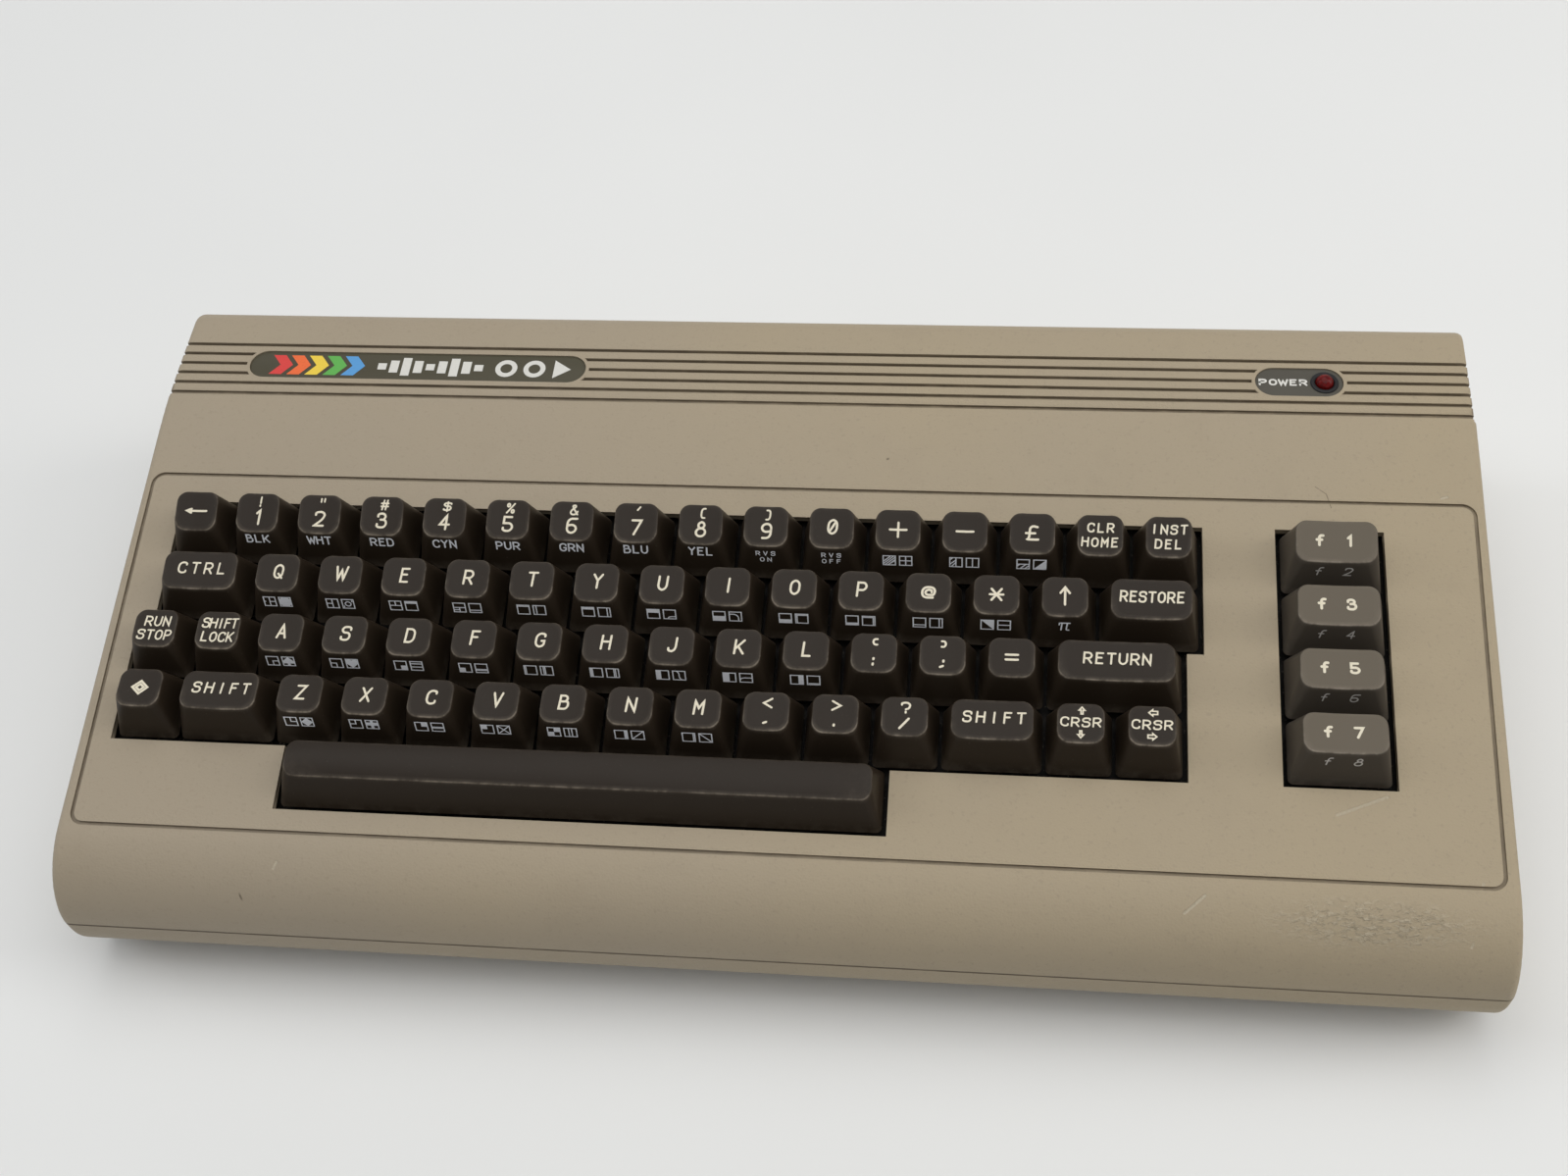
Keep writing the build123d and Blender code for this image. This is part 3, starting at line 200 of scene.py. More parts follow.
class Tree:
    """The node tree of one material or of the world."""

    MIX_INPUTS = (0, 6, 7)
    MIX_COLOUR = 2

    def __init__(self, owner: Material | bpy.types.World) -> None:
        """Empties the owner's tree.

        Args:
            owner: The material or the world.
        """
        self.owner = owner
        owner.use_nodes = True
        self.group = owner.node_tree
        self.group.nodes.clear()
        end = "World" if isinstance(owner, bpy.types.World) else "Material"
        self.output = self.group.nodes.new(f"ShaderNodeOutput{end}")

    def node(
        self, kind: str, settings: Settings = None, inputs: Inputs = None, output: str | int = 0
    ) -> Value:
        """Adds a node of any type.

        Args:
            kind: The node's type.
            settings: Its properties, which are set first.
            inputs: Values or links of its sockets, by name or by number.
            output: Which of its outputs is wanted.

        Returns:
            That output.
        """
        return Value(self, add_node(self.group, kind, settings, inputs).outputs[output])

    def math(self, operation: str, *terms: Value | float) -> Value:
        """Adds a Math node."""
        return self.node("ShaderNodeMath", {"operation": operation}, dict(enumerate(terms)))

    def vector(self, operation: str, first: Any, second: Any, output: str = "Vector") -> Value:
        """Adds a Vector Math node with two inputs."""
        return self.node("ShaderNodeVectorMath", {"operation": operation}, {0: first, 1: second}, output)

    def place(self) -> Value:
        """The shaded point in the object's own coordinates."""
        return self.node("ShaderNodeTexCoord", output="Object")

    def attribute(self, name: str) -> Value:
        """A number that the mesh keeps at each of its points."""
        return self.node("ShaderNodeAttribute", {"attribute_name": name}, None, "Fac")

    def along(self, vector: Value, axis: str) -> Value:
        """One coordinate of a vector."""
        return self.node("ShaderNodeSeparateXYZ", None, {0: vector}, axis)

    def stretch(self, vector: Value, scale: Place) -> Value:
        """A vector with each coordinate multiplied."""
        return self.vector("MULTIPLY", vector, scale)

    def distance(self, vector: Value, centre: Value | Place) -> Value:
        """How far a point is from another one."""
        return self.vector("DISTANCE", vector, centre, "Value")

    def dot(self, vector: Value, direction: Place) -> Value:
        """How far a vector reaches along a fixed one."""
        return self.vector("DOT_PRODUCT", vector, direction, "Value")

    def segment(self, vector: Value, start: Place, end: Place) -> Value:
        """How far a point is from a short straight line.

        Args:
            vector: The point.
            start: One end of the line.
            end: Its other end.

        Returns:
            The distance.
        """
        way = tuple(b - a for a, b in zip(start, end))
        square = sum(c * c for c in way)
        away = self.vector("SUBTRACT", vector, start)
        share = (self.dot(away, way) * (1 / square)).high(0.0).low(1.0)
        foot = self.node("ShaderNodeVectorMath", {"operation": "SCALE"}, {0: way, "Scale": share})
        return self.distance(away, foot)

    def noise(self, vector: Value, fineness: float, detail: float = 3.0, roughness: float = 0.5) -> Value:
        """Fractal noise from 0 to 1, its fineness in features per metre."""
        sizes = {"Vector": vector, "Scale": fineness, "Detail": detail, "Roughness": roughness}
        return self.node("ShaderNodeTexNoise", {"noise_dimensions": "3D"}, sizes, "Fac")

    def patches(self, vector: Value, kind: Patches) -> Value:
        """Patches of one kind."""
        noise = self.noise(vector, kind.fineness, kind.detail, kind.roughness)
        return noise.ramp(*kind.cut, *kind.strength)

    def cells(self, vector: Value, fineness: float) -> Value:
        """Distance to the nearest of scattered points, for pebbled grain."""
        sizes = {"Vector": vector, "Scale": fineness}
        return self.node("ShaderNodeTexVoronoi", {"feature": "F1"}, sizes, "Distance")

    def mix(self, first: Value | Colour, second: Value | Colour, factor: Value | float) -> Value:
        """Mixes two colours.

        Args:
            first: The colour at factor 0.
            second: The colour at factor 1.
            factor: How far to go from first to second.

        Returns:
            The mixed colour.
        """
        ends = (end if isinstance(end, Value) else (*end, 1.0) for end in (first, second))
        inputs = dict(zip(self.MIX_INPUTS, (factor, *ends)))
        return self.node("ShaderNodeMix", {"data_type": "RGBA"}, inputs, self.MIX_COLOUR)

    def bump(self, height: Value, distance: float, strength: float, normal: Value | None = None) -> Value:
        """Turns a relief from 0 to 1 into a normal, on top of another one if that is given."""
        sizes = {"Height": height, "Distance": distance, "Strength": strength, "Normal": normal}
        return self.node("ShaderNodeBump", None, sizes)

    def seen(self) -> Value:
        """Tells which rays see the surroundings.

        Returns:
            1 for the rays of the eye, of gloss and of clear plastic, and 0 for those that carry light.
        """
        kinds = ("Camera", "Glossy", "Transmission")
        eye, gloss, clear = (self.node("ShaderNodeLightPath", output=f"Is {kind} Ray") for kind in kinds)
        return eye.high(gloss).high(clear)

    def end(self, shader: Value) -> Any:
        """Ends the tree in a shader and returns the material or the world."""
        self.group.links.new(shader.socket, self.output.inputs[0])
        return self.owner

    def surface(self, **sockets: Any) -> Material:
        """Ends the tree in a Principled shader."""
        return self.end(self.shader(**sockets))

    def shader(self, **sockets: Any) -> Value:
        """Adds a Principled shader, its sockets named with underscores for blanks."""
        named = {key.replace("_", " "): given for key, given in sockets.items()}
        return self.node("ShaderNodeBsdfPrincipled", None, named)


# --- Finishes ---


def toned(colour: Colour, share: float) -> Colour:
    """A colour with its light multiplied."""
    return tuple(c * share for c in colour)


@dataclass(frozen=True)
class Finish:
    """What every finish has: a name and a way to make its material once."""

    name: str

    def build(self, tree: Tree) -> Material:
        """Fills the empty tree of the finish's material, in each finish in its own way."""
        raise NotImplementedError

    def material(self) -> Material:
        """The finish's material, made at its first use under a name that no CAD material has."""
        own = self.name + "_finish"
        return bpy.data.materials.get(own) or self.build(Tree(bpy.data.materials.new(own)))


@dataclass(frozen=True)
class Mark:
    """A scratch or a nick in the case: a short straight line."""

    start: Place
    end: Place
    width: float
    strength: float


@dataclass(frozen=True)
class DirtAndShade:
    """Grime and painted shade in the case's recesses: the panel's groove, the ribs' grooves and the seam.

    A region holds the darkening's share of the colour and the region's edges. An edge names a
    measure, its value where the colour is untouched and its value where it is darkened. Depth and reach
    are measured from the panel's front edge, out of it and up its slope.
    """

    panel: Panel = Panel()
    rib_middle: float = 0.0705
    seam_height: float = 0.027
    groove: Edges = (
        ("depth", -0.0001, -0.0005),
        ("depth", -0.0011, -0.0009),
        ("reach", 0.0002, 0.0004),
        ("reach", 0.1149, 0.1147),
        ("side", 0.1985, 0.1982),
    )
    ribs: Edges = (
        ("height", 0.0748, 0.0742),
        ("height", 0.0736, 0.0738),
        ("back", 0.0108, 0.0106),
        ("side", 0.2005, 0.2),
    )
    seam: Edges = (("seam", 0.0006, 0.00025),)
    shares: Place = (0.55, 0.7, 0.85)
    uneven: Patches = Patches(130.0, cut=(0.25, 0.6), strength=(0.6, 1.0))

    def amount(self, tree: Tree, place: Value) -> Value:
        """Works out how much each point of the case is darkened, by grime and by painted shade in its
        recesses.

        Args:
            tree: The material's tree.
            place: The shaded point.

        Returns:
            The darkening's share of the colour.
        """
        from_edge = tree.vector("SUBTRACT", place, self.panel.point(0.0, 0.0, 0.0))
        sine, cosine = math.sin(self.panel.tilt), math.cos(self.panel.tilt)
        height = tree.along(place, "Z")
        measures = {
            "depth": tree.dot(from_edge, (0.0, -sine, cosine)),
            "reach": tree.dot(from_edge, (0.0, cosine, sine)),
            "side": abs(tree.along(place, "X")),
            "back": abs(tree.along(place, "Y") - self.rib_middle),
            "height": height,
            "seam": abs(height - self.seam_height),
        }
        shown: Value | float = 0.0
        # Each region is painted shade in a recess, made uneven like grime.
        for share, edges in zip(self.shares, (self.groove, self.ribs, self.seam)):
            region: Value | float = share
            for measure, unshaded_value, darkened_value in edges:
                region = measures[measure].ramp(unshaded_value, darkened_value) * region
            shown = region.high(shown)
        return shown * tree.patches(place, self.uneven)


@dataclass(frozen=True)
class CasePlastic(Finish):
    """Beige moulded plastic with a pebbled grain, yellowed and rubbed with use."""

    colour: Colour = (0.343, 0.288, 0.213)
    warm: Colour = (0.372, 0.306, 0.208)
    warm_middle: float = 0.45
    warm_slope: float = 2.2
    warm_clouds: float = 1.6
    cloud_fineness: float = 9.0
    grain_colour: Colour = (0.275, 0.23, 0.168)
    grains: Patches = Patches(900.0, 2.0, cut=(0.58, 0.74), strength=(0.0, 0.36))
    grime_colour: Colour = (0.28, 0.23, 0.165)
    grime: Patches = Patches(60.0, 5.0, 0.6, (0.50, 0.85), (0.0, 0.24))
    # Dark colour of the painted shade in the grooves and the seam, mixed with grime; the dark specks use it
    # too.
    dirt_and_shade_colour: Colour = (0.095, 0.072, 0.048)
    dirt_and_shade: DirtAndShade = DirtAndShade()
    worn: Colour = (0.47, 0.41, 0.31)
    pebbles: float = 1500.0
    pebble_depth: float = 0.00012
    scuff_centre: Place = (0.163, -0.0905, 0.0466)
    scuff_squeeze: float = 0.24
    scuff_reach: float = 0.0088
    scuff_core: float = 0.3
    scuff_share: float = 0.5
    streaks: Patches = Patches(420.0, 4.0, 0.75, (0.46, 0.62))
    streak_squeeze: Place = (1.0, 2.2, 2.2)
    cracks: float = 820.0
    crack_depth: float = 0.0003
    scratch_share: float = 0.9
    scratch_depth: float = 0.8
    ragged: Patches = Patches(1900.0, 2.0, cut=(0.2, 0.6), strength=(0.45, 1.0))
    roughness: float = 0.56
    shine: float = 0.3
    scratches: tuple[Mark, ...] = (
        Mark((0.11451, -0.08997, 0.04699), (0.11978, -0.08562, 0.04916), 0.0006, 1.0),
        Mark((0.15479, -0.06227, 0.05372), (0.16806, -0.05677, 0.05468), 0.0007, 0.75),
        Mark((0.19122, -0.07915, 0.05074), (0.18806, -0.0941, 0.04368), 0.0006, 0.7),
        Mark((0.18800, 0.0330, 0.0705), (0.1896, 0.0335, 0.0706), 0.0006, 0.9),
        Mark((-0.1355, -0.0900, 0.0470), (-0.1348, -0.0884, 0.0479), 0.0006, 0.7),
    )
    specks: tuple[Mark, ...] = (
        Mark((-0.14471, -0.09750, 0.0401), (-0.1455, -0.0954, 0.0418), 0.00045, 0.8),
        Mark((0.1570, 0.0292, 0.0699), (0.1558, 0.0335, 0.0706), 0.00022, 0.75),
        Mark((0.1558, 0.0335, 0.0706), (0.1528, 0.0358, 0.0710), 0.00022, 0.6),
        Mark((0.02873, 0.04168, 0.07205), (0.02893, 0.04178, 0.07207), 0.0005, 0.8),
    )

    def build(self, tree: Tree) -> Material:
        """Mottled colour, pebbled relief, grime and painted shade in the grooves and the seam, scratches and
        a rubbed corner.

        Args:
            tree: The material's empty tree.

        Returns:
            The material.
        """
        place = tree.place()
        clouds = tree.noise(place, self.cloud_fineness, 4.0)
        warmth = tree.along(place, "X") * self.warm_slope + self.warm_middle
        warmth = warmth + (clouds - 0.5) * self.warm_clouds
        base = tree.mix(self.colour, self.warm, warmth.high(0.0).low(1.0))
        base = tree.mix(base, self.grain_colour, tree.patches(place, self.grains))
        base = tree.mix(base, self.grime_colour, tree.patches(place, self.grime))
        # Painted shade with grime, darkening the panel's groove, the ribs' grooves and the seam.
        base = tree.mix(base, self.dirt_and_shade_colour, self.dirt_and_shade.amount(tree, place))
        scuff = self._scuff(tree, place)
        streaks = tree.patches(tree.stretch(place, self.streak_squeeze), self.streaks)
        rubbed = scuff * streaks
        base = tree.mix(base, self.worn, rubbed * self.scuff_share)
        scratched = self._lines(tree, place, self.scratches)
        base = tree.mix(base, self.worn, scratched * self.scratch_share)
        base = tree.mix(base, self.dirt_and_shade_colour, self._lines(tree, place, self.specks))
        pebbles = tree.cells(place, self.pebbles) * 0.6 + tree.noise(place, self.pebbles * 0.6) * 0.6
        relief = tree.bump(pebbles, self.pebble_depth, 0.7)
        cracked = tree.cells(place, self.cracks) * scuff * streaks - scratched * self.scratch_depth
        relief = tree.bump(cracked, self.crack_depth, 0.9, relief)
        rough = self.roughness + (clouds - 0.5) * 0.10 - rubbed * 0.12
        return tree.surface(Base_Color=base, Roughness=rough, Normal=relief, Specular_IOR_Level=self.shine)

    def _scuff(self, tree: Tree, place: Value) -> Value:
        """How near the rubbed patch is, which is long because its coordinates are squeezed.

        Args:
            tree: The material's tree.
            place: The shaded point.

        Returns:
            1 in the patch's core and 0 outside its reach.
        """
        x, y, z = self.scuff_centre
        squeezed = tree.stretch(place, (self.scuff_squeeze, 1.0, 1.0))
        away = tree.distance(squeezed, (x * self.scuff_squeeze, y, z))
        return away.ramp(self.scuff_reach, self.scuff_reach * self.scuff_core)

    def _lines(self, tree: Tree, place: Value, marks: Sequence[Mark]) -> Value:
        """How strongly any of the marks shows.

        Args:
            tree: The material's tree.
            place: The shaded point.
            marks: The marks.

        Returns:
            The strongest mark at each point, with ragged edges.
        """
        shown: Value | float = 0.0
        for mark in marks:
            away = tree.segment(place, mark.start, mark.end)
            shown = away.ramp(mark.width, mark.width * 0.3, 0.0, mark.strength).high(shown)
        return shown * tree.patches(place, self.ragged)


@dataclass(frozen=True)
class SatinPlastic(Finish):
    """Plain moulded plastic with slight mottling and fine relief."""

    colour: Colour = (0.03, 0.03, 0.03)
    second: Colour = (0.04, 0.04, 0.04)
    roughness: float = 0.45
    cloud_fineness: float = 70.0
    grain: float = 2200.0
    grain_depth: float = 0.00002
    dust: float = 0.0
    dust_colour: Colour = (0.30, 0.27, 0.22)
    dust_specks: Patches = Patches(1600.0, 2.0, cut=(0.64, 0.76))
    shine: float = 0.3

    def build(self, tree: Tree) -> Material:
        """Two close colours in clouds, with fine grain and a little dust.

        Args:
            tree: The material's empty tree.

        Returns:
            The material.
        """
        place = tree.place()
        clouds = tree.noise(place, self.cloud_fineness, 4.0)
        base = tree.mix(self.colour, self.second, clouds.ramp(0.3, 0.7))
        base = tree.mix(base, self.dust_colour, tree.patches(place, self.dust_specks) * self.dust)
        relief = tree.bump(tree.noise(place, self.grain), self.grain_depth, 0.6)
        rough = self.roughness + (clouds - 0.5) * 0.14
        return tree.surface(Base_Color=base, Roughness=rough, Normal=relief, Specular_IOR_Level=self.shine)


@dataclass(frozen=True)
class KeyPlastic(Finish):
    """Dark key plastic, polished by fingers on top, its keytop painted a tone of its own for how the top is
    lit, and paler along its rims with rubbed edges and a painted highlight.
    """

    colour: Colour = (0.0243, 0.0171, 0.0112)
    # Keytop tone, set apart from the sides' tone to match how the top is lit: painted light and shade.
    top: Colour = (0.0209, 0.0151, 0.0107)
    # Pale rim colour: rubbed edges, and a painted highlight along the front edges and corners.
    rim: Colour = (0.33, 0.28, 0.22)
    rim_wear_and_highlight_share: float = 0.7
    rim_wear_and_highlight: Patches = Patches(210.0, 4.0, 0.7, (0.36, 0.68), (0.2, 1.0))
    dust: Colour = (0.13, 0.11, 0.09)
    dust_specks: Patches = Patches(2100.0, 2.0, cut=(0.68, 0.78), strength=(0.0, 0.35))
    cloud_fineness: float = 110.0
    grain: float = 2600.0
    grain_depth: float = 0.000022
    roughness: float = 0.38
    shine: float = 0.13

    def build(self, tree: Tree) -> Material:
        """Reads two attributes of the cap: how much it is keytop, and how much rim, whose pale colour stands
        for rubbed edges and a painted highlight.

        Args:
            tree: The material's empty tree.

        Returns:
            The material.
        """
        place = tree.place()
        top = tree.attribute("keytop")
        clouds = tree.noise(place, self.cloud_fineness, 4.0)
        # The top and the sides get tones of their own: painted light and shade by face.
        base = tree.mix(self.colour, self.top, top)
        # Pale rim: rubbed edges and a painted highlight, strongest along the front edge.
        wear_and_highlight = tree.attribute("rim") * tree.patches(place, self.rim_wear_and_highlight)
        base = tree.mix(base, self.rim, wear_and_highlight * self.rim_wear_and_highlight_share)
        base = tree.mix(base, self.dust, tree.patches(place, self.dust_specks) * (1.0 - top * 0.5))
        relief = tree.bump(tree.noise(place, self.grain), self.grain_depth, 0.55)
        rough = self.roughness + (clouds - 0.5) * 0.16 - top * 0.02
        return tree.surface(Base_Color=base, Roughness=rough, Normal=relief, Specular_IOR_Level=self.shine)


@dataclass(frozen=True)
class LegendInk(Finish):
    """The print of a legend, slightly uneven."""

    colour: Colour = (0.72, 0.66, 0.52)
    thin: Patches = Patches(1500.0, cut=(0.55, 0.8), strength=(0.0, 0.35))

    def build(self, tree: Tree) -> Material:
        """Pale print with faint thin places.

        Args:
            tree: The material's empty tree.

        Returns:
            The material.
        """
        thin = tree.patches(tree.place(), self.thin)
        base = tree.mix(self.colour, toned(self.colour, 0.55), thin)
        return tree.surface(Base_Color=base, Roughness=0.5 + thin * 0.3)


@dataclass(frozen=True)
class BadgeFace(Finish):
    """Printed metal foil: a flat colour under a thin clear film."""

    colour: Colour = (0.075, 0.068, 0.046)
    specks: Patches = Patches(1300.0, 2.0, cut=(0.66, 0.8), strength=(0.0, 0.25))
    brush: Place = (0.06, 1.0, 1.0)
    brush_fineness: float = 5200.0
    brush_depth: float = 0.000008
    roughness: float = 0.36
    shine: float = 0.12

    def build(self, tree: Tree) -> Material:
        """A fine brushed relief along the plate under satin print.

        Args:
            tree: The material's empty tree.

        Returns:
            The material.
        """
        place = tree.place()
        brushed = tree.noise(tree.stretch(place, self.brush), self.brush_fineness)
        return tree.surface(
            Base_Color=tree.mix(self.colour, toned(self.colour, 1.7), tree.patches(place, self.specks)),
            Roughness=self.roughness + (brushed - 0.5) * 0.12,
            Normal=tree.bump(brushed, self.brush_depth, 0.5),
            Specular_IOR_Level=self.shine,
        )


@dataclass(frozen=True)
class LampLens(Finish):
    """Dark red clear plastic, unlit."""

    colour: Colour = (0.078, 0.002, 0.002)
    bright: Colour = (0.165, 0.004, 0.004)
    veins: Patches = Patches(700.0, cut=(0.35, 0.75))
    facets: float = 900.0
    facet_depth: float = 0.00012
    roughness: float = 0.12
    shine: float = 0.13

    def build(self, tree: Tree) -> Material:
        """Deep red with brighter veins, facets under the dome and a hard gloss.

        Args:
            tree: The material's empty tree.

        Returns:
            The material.
        """
        place = tree.place()
        veins = tree.patches(place, self.veins)
        return tree.surface(
            Base_Color=tree.mix(self.colour, self.bright, veins),
            Roughness=self.roughness + veins * 0.06,
            Specular_IOR_Level=self.shine,
            Normal=tree.bump(tree.cells(place, self.facets), self.facet_depth, 0.5),
        )


@dataclass(frozen=True)
class BareMetal(Finish):
    """Plated or tinned metal with fine scratches."""

    colour: Colour = (0.56, 0.56, 0.56)
    roughness: float = 0.3
    scratch: Place = (1.0, 1.0, 1.0)
    scratch_fineness: float = 2400.0
    scratch_depth: float = 0.00001
    cloud_fineness: float = 160.0

    def build(self, tree: Tree) -> Material:
        """Metal with uneven gloss and a scratched relief.

        Args:
            tree: The material's empty tree.

        Returns:
            The material.
        """
        place = tree.place()
        clouds = tree.noise(place, self.cloud_fineness, 5.0, 0.6)
        scratches = tree.noise(tree.stretch(place, self.scratch), self.scratch_fineness, 4.0, 0.7)
        return tree.surface(
            Base_Color=tree.mix(self.colour, toned(self.colour, 0.72), clouds.ramp(0.35, 0.75)),
            Metallic=1.0,
            Roughness=self.roughness + (clouds - 0.5) * 0.25,
            Normal=tree.bump(scratches, self.scratch_depth, 0.5),
        )


@dataclass(frozen=True)
class BoardLaminate(Finish):
    """Lacquered circuit board with tracks under the green."""

    colour: Colour = (0.035, 0.105, 0.030)
    track: Colour = (0.085, 0.20, 0.045)
    track_pitch: float = 0.00254
    track_depth: float = 0.00003
    bend_fineness: float = 45.0
    bend: float = 0.004
    fields: Patches = Patches(32.0, 1.0, cut=(0.49, 0.51))

    def build(self, tree: Tree) -> Material:
        """Tracks as two crossed bands, each in fields of its own.

        Args:
            tree: The material's empty tree.

        Returns:
            The material.
        """
        place = tree.place()
        bend = tree.noise(place, self.bend_fineness, 2.0) * self.bend
        rows = self._bands(tree, tree.along(place, "X") + bend)
        columns = self._bands(tree, tree.along(place, "Y") + bend)
        side = tree.patches(place, self.fields)
        tracks = rows * side + columns * (1.0 - side)
        return tree.surface(
            Base_Color=tree.mix(self.colour, self.track, tracks),
            Roughness=0.28 + tree.noise(place, 300.0) * 0.12,
            Normal=tree.bump(tracks, self.track_depth, 0.6),
        )

    def _bands(self, tree: Tree, along: Value) -> Value:
        """Parallel tracks across one direction."""
        return abs(tree.math("SINE", along * (math.tau / self.track_pitch))).ramp(0.55, 0.72)


@dataclass(frozen=True)
class Rubber(Finish):
    """Matt rubber with a dusty bloom."""

    colour: Colour = (0.028, 0.027, 0.026)
    pale: Colour = (0.11, 0.105, 0.10)
    bloom: Patches = Patches(240.0, 5.0, 0.65, (0.5, 0.8))
    grain: float = 1400.0
    grain_depth: float = 0.00004

    def build(self, tree: Tree) -> Material:
        """Black with pale bloom in patches.

        Args:
            tree: The material's empty tree.

        Returns:
            The material.
        """
        place = tree.place()
        bloom = tree.patches(place, self.bloom)
        base = tree.mix(self.colour, self.pale, bloom * 0.5)
        relief = tree.bump(tree.noise(place, self.grain, 4.0), self.grain_depth, 0.6)
        return tree.surface(Base_Color=base, Roughness=0.78 + bloom * 0.12, Normal=relief)


@dataclass(frozen=True)
class StudioPaper(Finish):
    """The pale floor. Far out, where no lamp reaches, it looks as pale as the room."""

    colour: Colour = (0.83, 0.838, 0.838)
    room: Colour = (0.80, 0.81, 0.81)
    clouds: Patches = Patches(2.2)
    near: float = 0.7
    far: float = 1.7

    def build(self, tree: Tree) -> Material:
        """Matt paper with very faint clouds.

        Args:
            tree: The material's empty tree.

        Returns:
            The material.
        """
        place = tree.place()
        base = tree.mix(self.colour, toned(self.colour, 0.965), tree.patches(place, self.clouds))
        paper = tree.shader(Base_Color=base, Roughness=0.72, Specular_IOR_Level=0.25)
        pale = tree.node("ShaderNodeEmission", None, {"Color": (*self.room, 1.0)})
        away = tree.distance(place, (0.0, 0.0, 0.0)).ramp(self.near, self.far)
        return tree.end(tree.node("ShaderNodeMixShader", None, {0: tree.seen() * away, 1: paper, 2: pale}))


class Palette(Enum):
    """Every finish of the computer."""

    CASE = CasePlastic("case_plastic")
    KEY = KeyPlastic("key_plastic")
    # Tops painted about twice as bright as the sides, as painted light; the third colour is the rim's,
    # rubbed edges and a painted highlight.
    FUNCTION_KEY = KeyPlastic(
        "function_key_plastic", (0.062, 0.052, 0.041), (0.128, 0.108, 0.082), (0.36, 0.31, 0.25)
    )
    LEGEND = LegendInk("legend_print")
    SIDE_LEGEND = LegendInk("side_legend_print", (0.93, 0.95, 1.0))
    DIM_LEGEND = LegendInk("dim_legend_print", (0.50, 0.48, 0.45))
    BADGE = BadgeFace("badge_print")
    POWER_PLATE = BadgeFace("power_plate_print", (0.088, 0.082, 0.068))
    BADGE_WHITE = LegendInk("badge_white_print", (0.66, 0.65, 0.61))
    LENS = LampLens("lamp_lens")
    BEZEL = SatinPlastic("lamp_bezel_plastic", (0.014, 0.014, 0.015), (0.03, 0.03, 0.032), shine=0.14)
    BLACK = SatinPlastic("socket_plastic", (0.014, 0.014, 0.014), (0.024, 0.023, 0.022), dust=0.3)
    FRAME = SatinPlastic(
        "key_frame_plastic", (0.009, 0.0082, 0.0075), (0.014, 0.0125, 0.011), dust=0.4, shine=0.06
    )
    CHIP = SatinPlastic("chip_plastic", (0.018, 0.018, 0.019), (0.03, 0.03, 0.031), roughness=0.6)
    SLEEVE = SatinPlastic("capacitor_sleeve", (0.02, 0.03, 0.13), (0.03, 0.04, 0.16), roughness=0.25)
    RIBBON = SatinPlastic("ribbon_plastic", (0.25, 0.25, 0.26), (0.31, 0.31, 0.31), roughness=0.5)
    ROCKER = SatinPlastic("rocker_plastic", (0.012, 0.012, 0.012), (0.02, 0.02, 0.02), roughness=0.22)
    BOARD = BoardLaminate("board_laminate")
    STEEL = BareMetal("plated_steel", (0.52, 0.52, 0.53))
    WIRE = BareMetal("spring_wire", (0.60, 0.60, 0.61), roughness=0.22)
    TIN = BareMetal("tinned_plate", (0.60, 0.60, 0.58), roughness=0.36, scratch=(1.0, 0.2, 1.0))
    GOLD = BareMetal("contact_gold", (0.78, 0.56, 0.22), roughness=0.25)
    RUBBER = Rubber("foot_rubber")
    PAPER = StudioPaper("studio_paper")

    def material(self) -> Material:
        """The finish's material."""
        return self.value.material()


# --- Meshes ---

CAD_DOUBLES = 2e-6
OWN_DOUBLES = 1e-7
SMOOTH_ANGLE = 32.0


@dataclass
class Shape:
    """Points and faces that are gathered before they become a mesh."""

    points: list[Place] = field(default_factory=list)
    faces: list[Face] = field(default_factory=list)

    def add(self, points: Iterable[Place], faces: Iterable[Face]) -> None:
        """Adds a part.

        Args:
            points: Its points.
            faces: Its faces, which count from its own first point.
        """
        first = len(self.points)
        self.points += points
        self.faces += [tuple(first + i for i in face) for face in faces]


def mesh_object(
    name: str, points: Iterable[Place], faces: Iterable[Face], materials: list[Material], smooth: bool = True
) -> Piece:
    """Makes an object from points and faces that are already in place.

    Args:
        name: The object's name.
        points: Corners in the frame's coordinates.
        faces: Loops of corner numbers.
        materials: The object's material slots.
        smooth: Whether the faces are shaded smooth.

    Returns:
        The object, linked to the scene.
    """
    mesh = bpy.data.meshes.new(name)
    mesh.from_pydata([tuple(p) for p in points], [], [tuple(f) for f in faces])
    mesh.validate()
    for material in materials:
        mesh.materials.append(material)
    mesh.polygons.foreach_set("use_smooth", [smooth] * len(mesh.polygons))
    made = bpy.data.objects.new(name, mesh)
    bpy.context.scene.collection.objects.link(made)
    return made


def turned_mesh(name: str, shape: Shape, finish: Palette, sharp: float) -> Piece:
    """Makes an object from a shape in millimetres, with its faces turned outwards.

    Args:
        name: The object's name.
        shape: Its points and faces; doubled points are joined.
        finish: Its finish.
        sharp: Edges sharper than this, in degrees, stay sharp.

    Returns:
        The object, which is not yet riding on a body.
    """
    made = mesh_object(name, scaled(shape.points), shape.faces, [finish.material()])
    work = bmesh.new()
    work.from_mesh(made.data)
    bmesh.ops.remove_doubles(work, verts=work.verts, dist=OWN_DOUBLES)
    bmesh.ops.recalc_face_normals(work, faces=work.faces)
    work.to_mesh(made.data)
    work.free()
    made.data.set_sharp_from_angle(angle=math.radians(sharp))
    return made


def scaled(points: Iterable[Sequence[float]]) -> list[tuple[float, ...]]:
    """Millimetres to metres."""
    return [tuple(c * MM for c in p) for p in points]


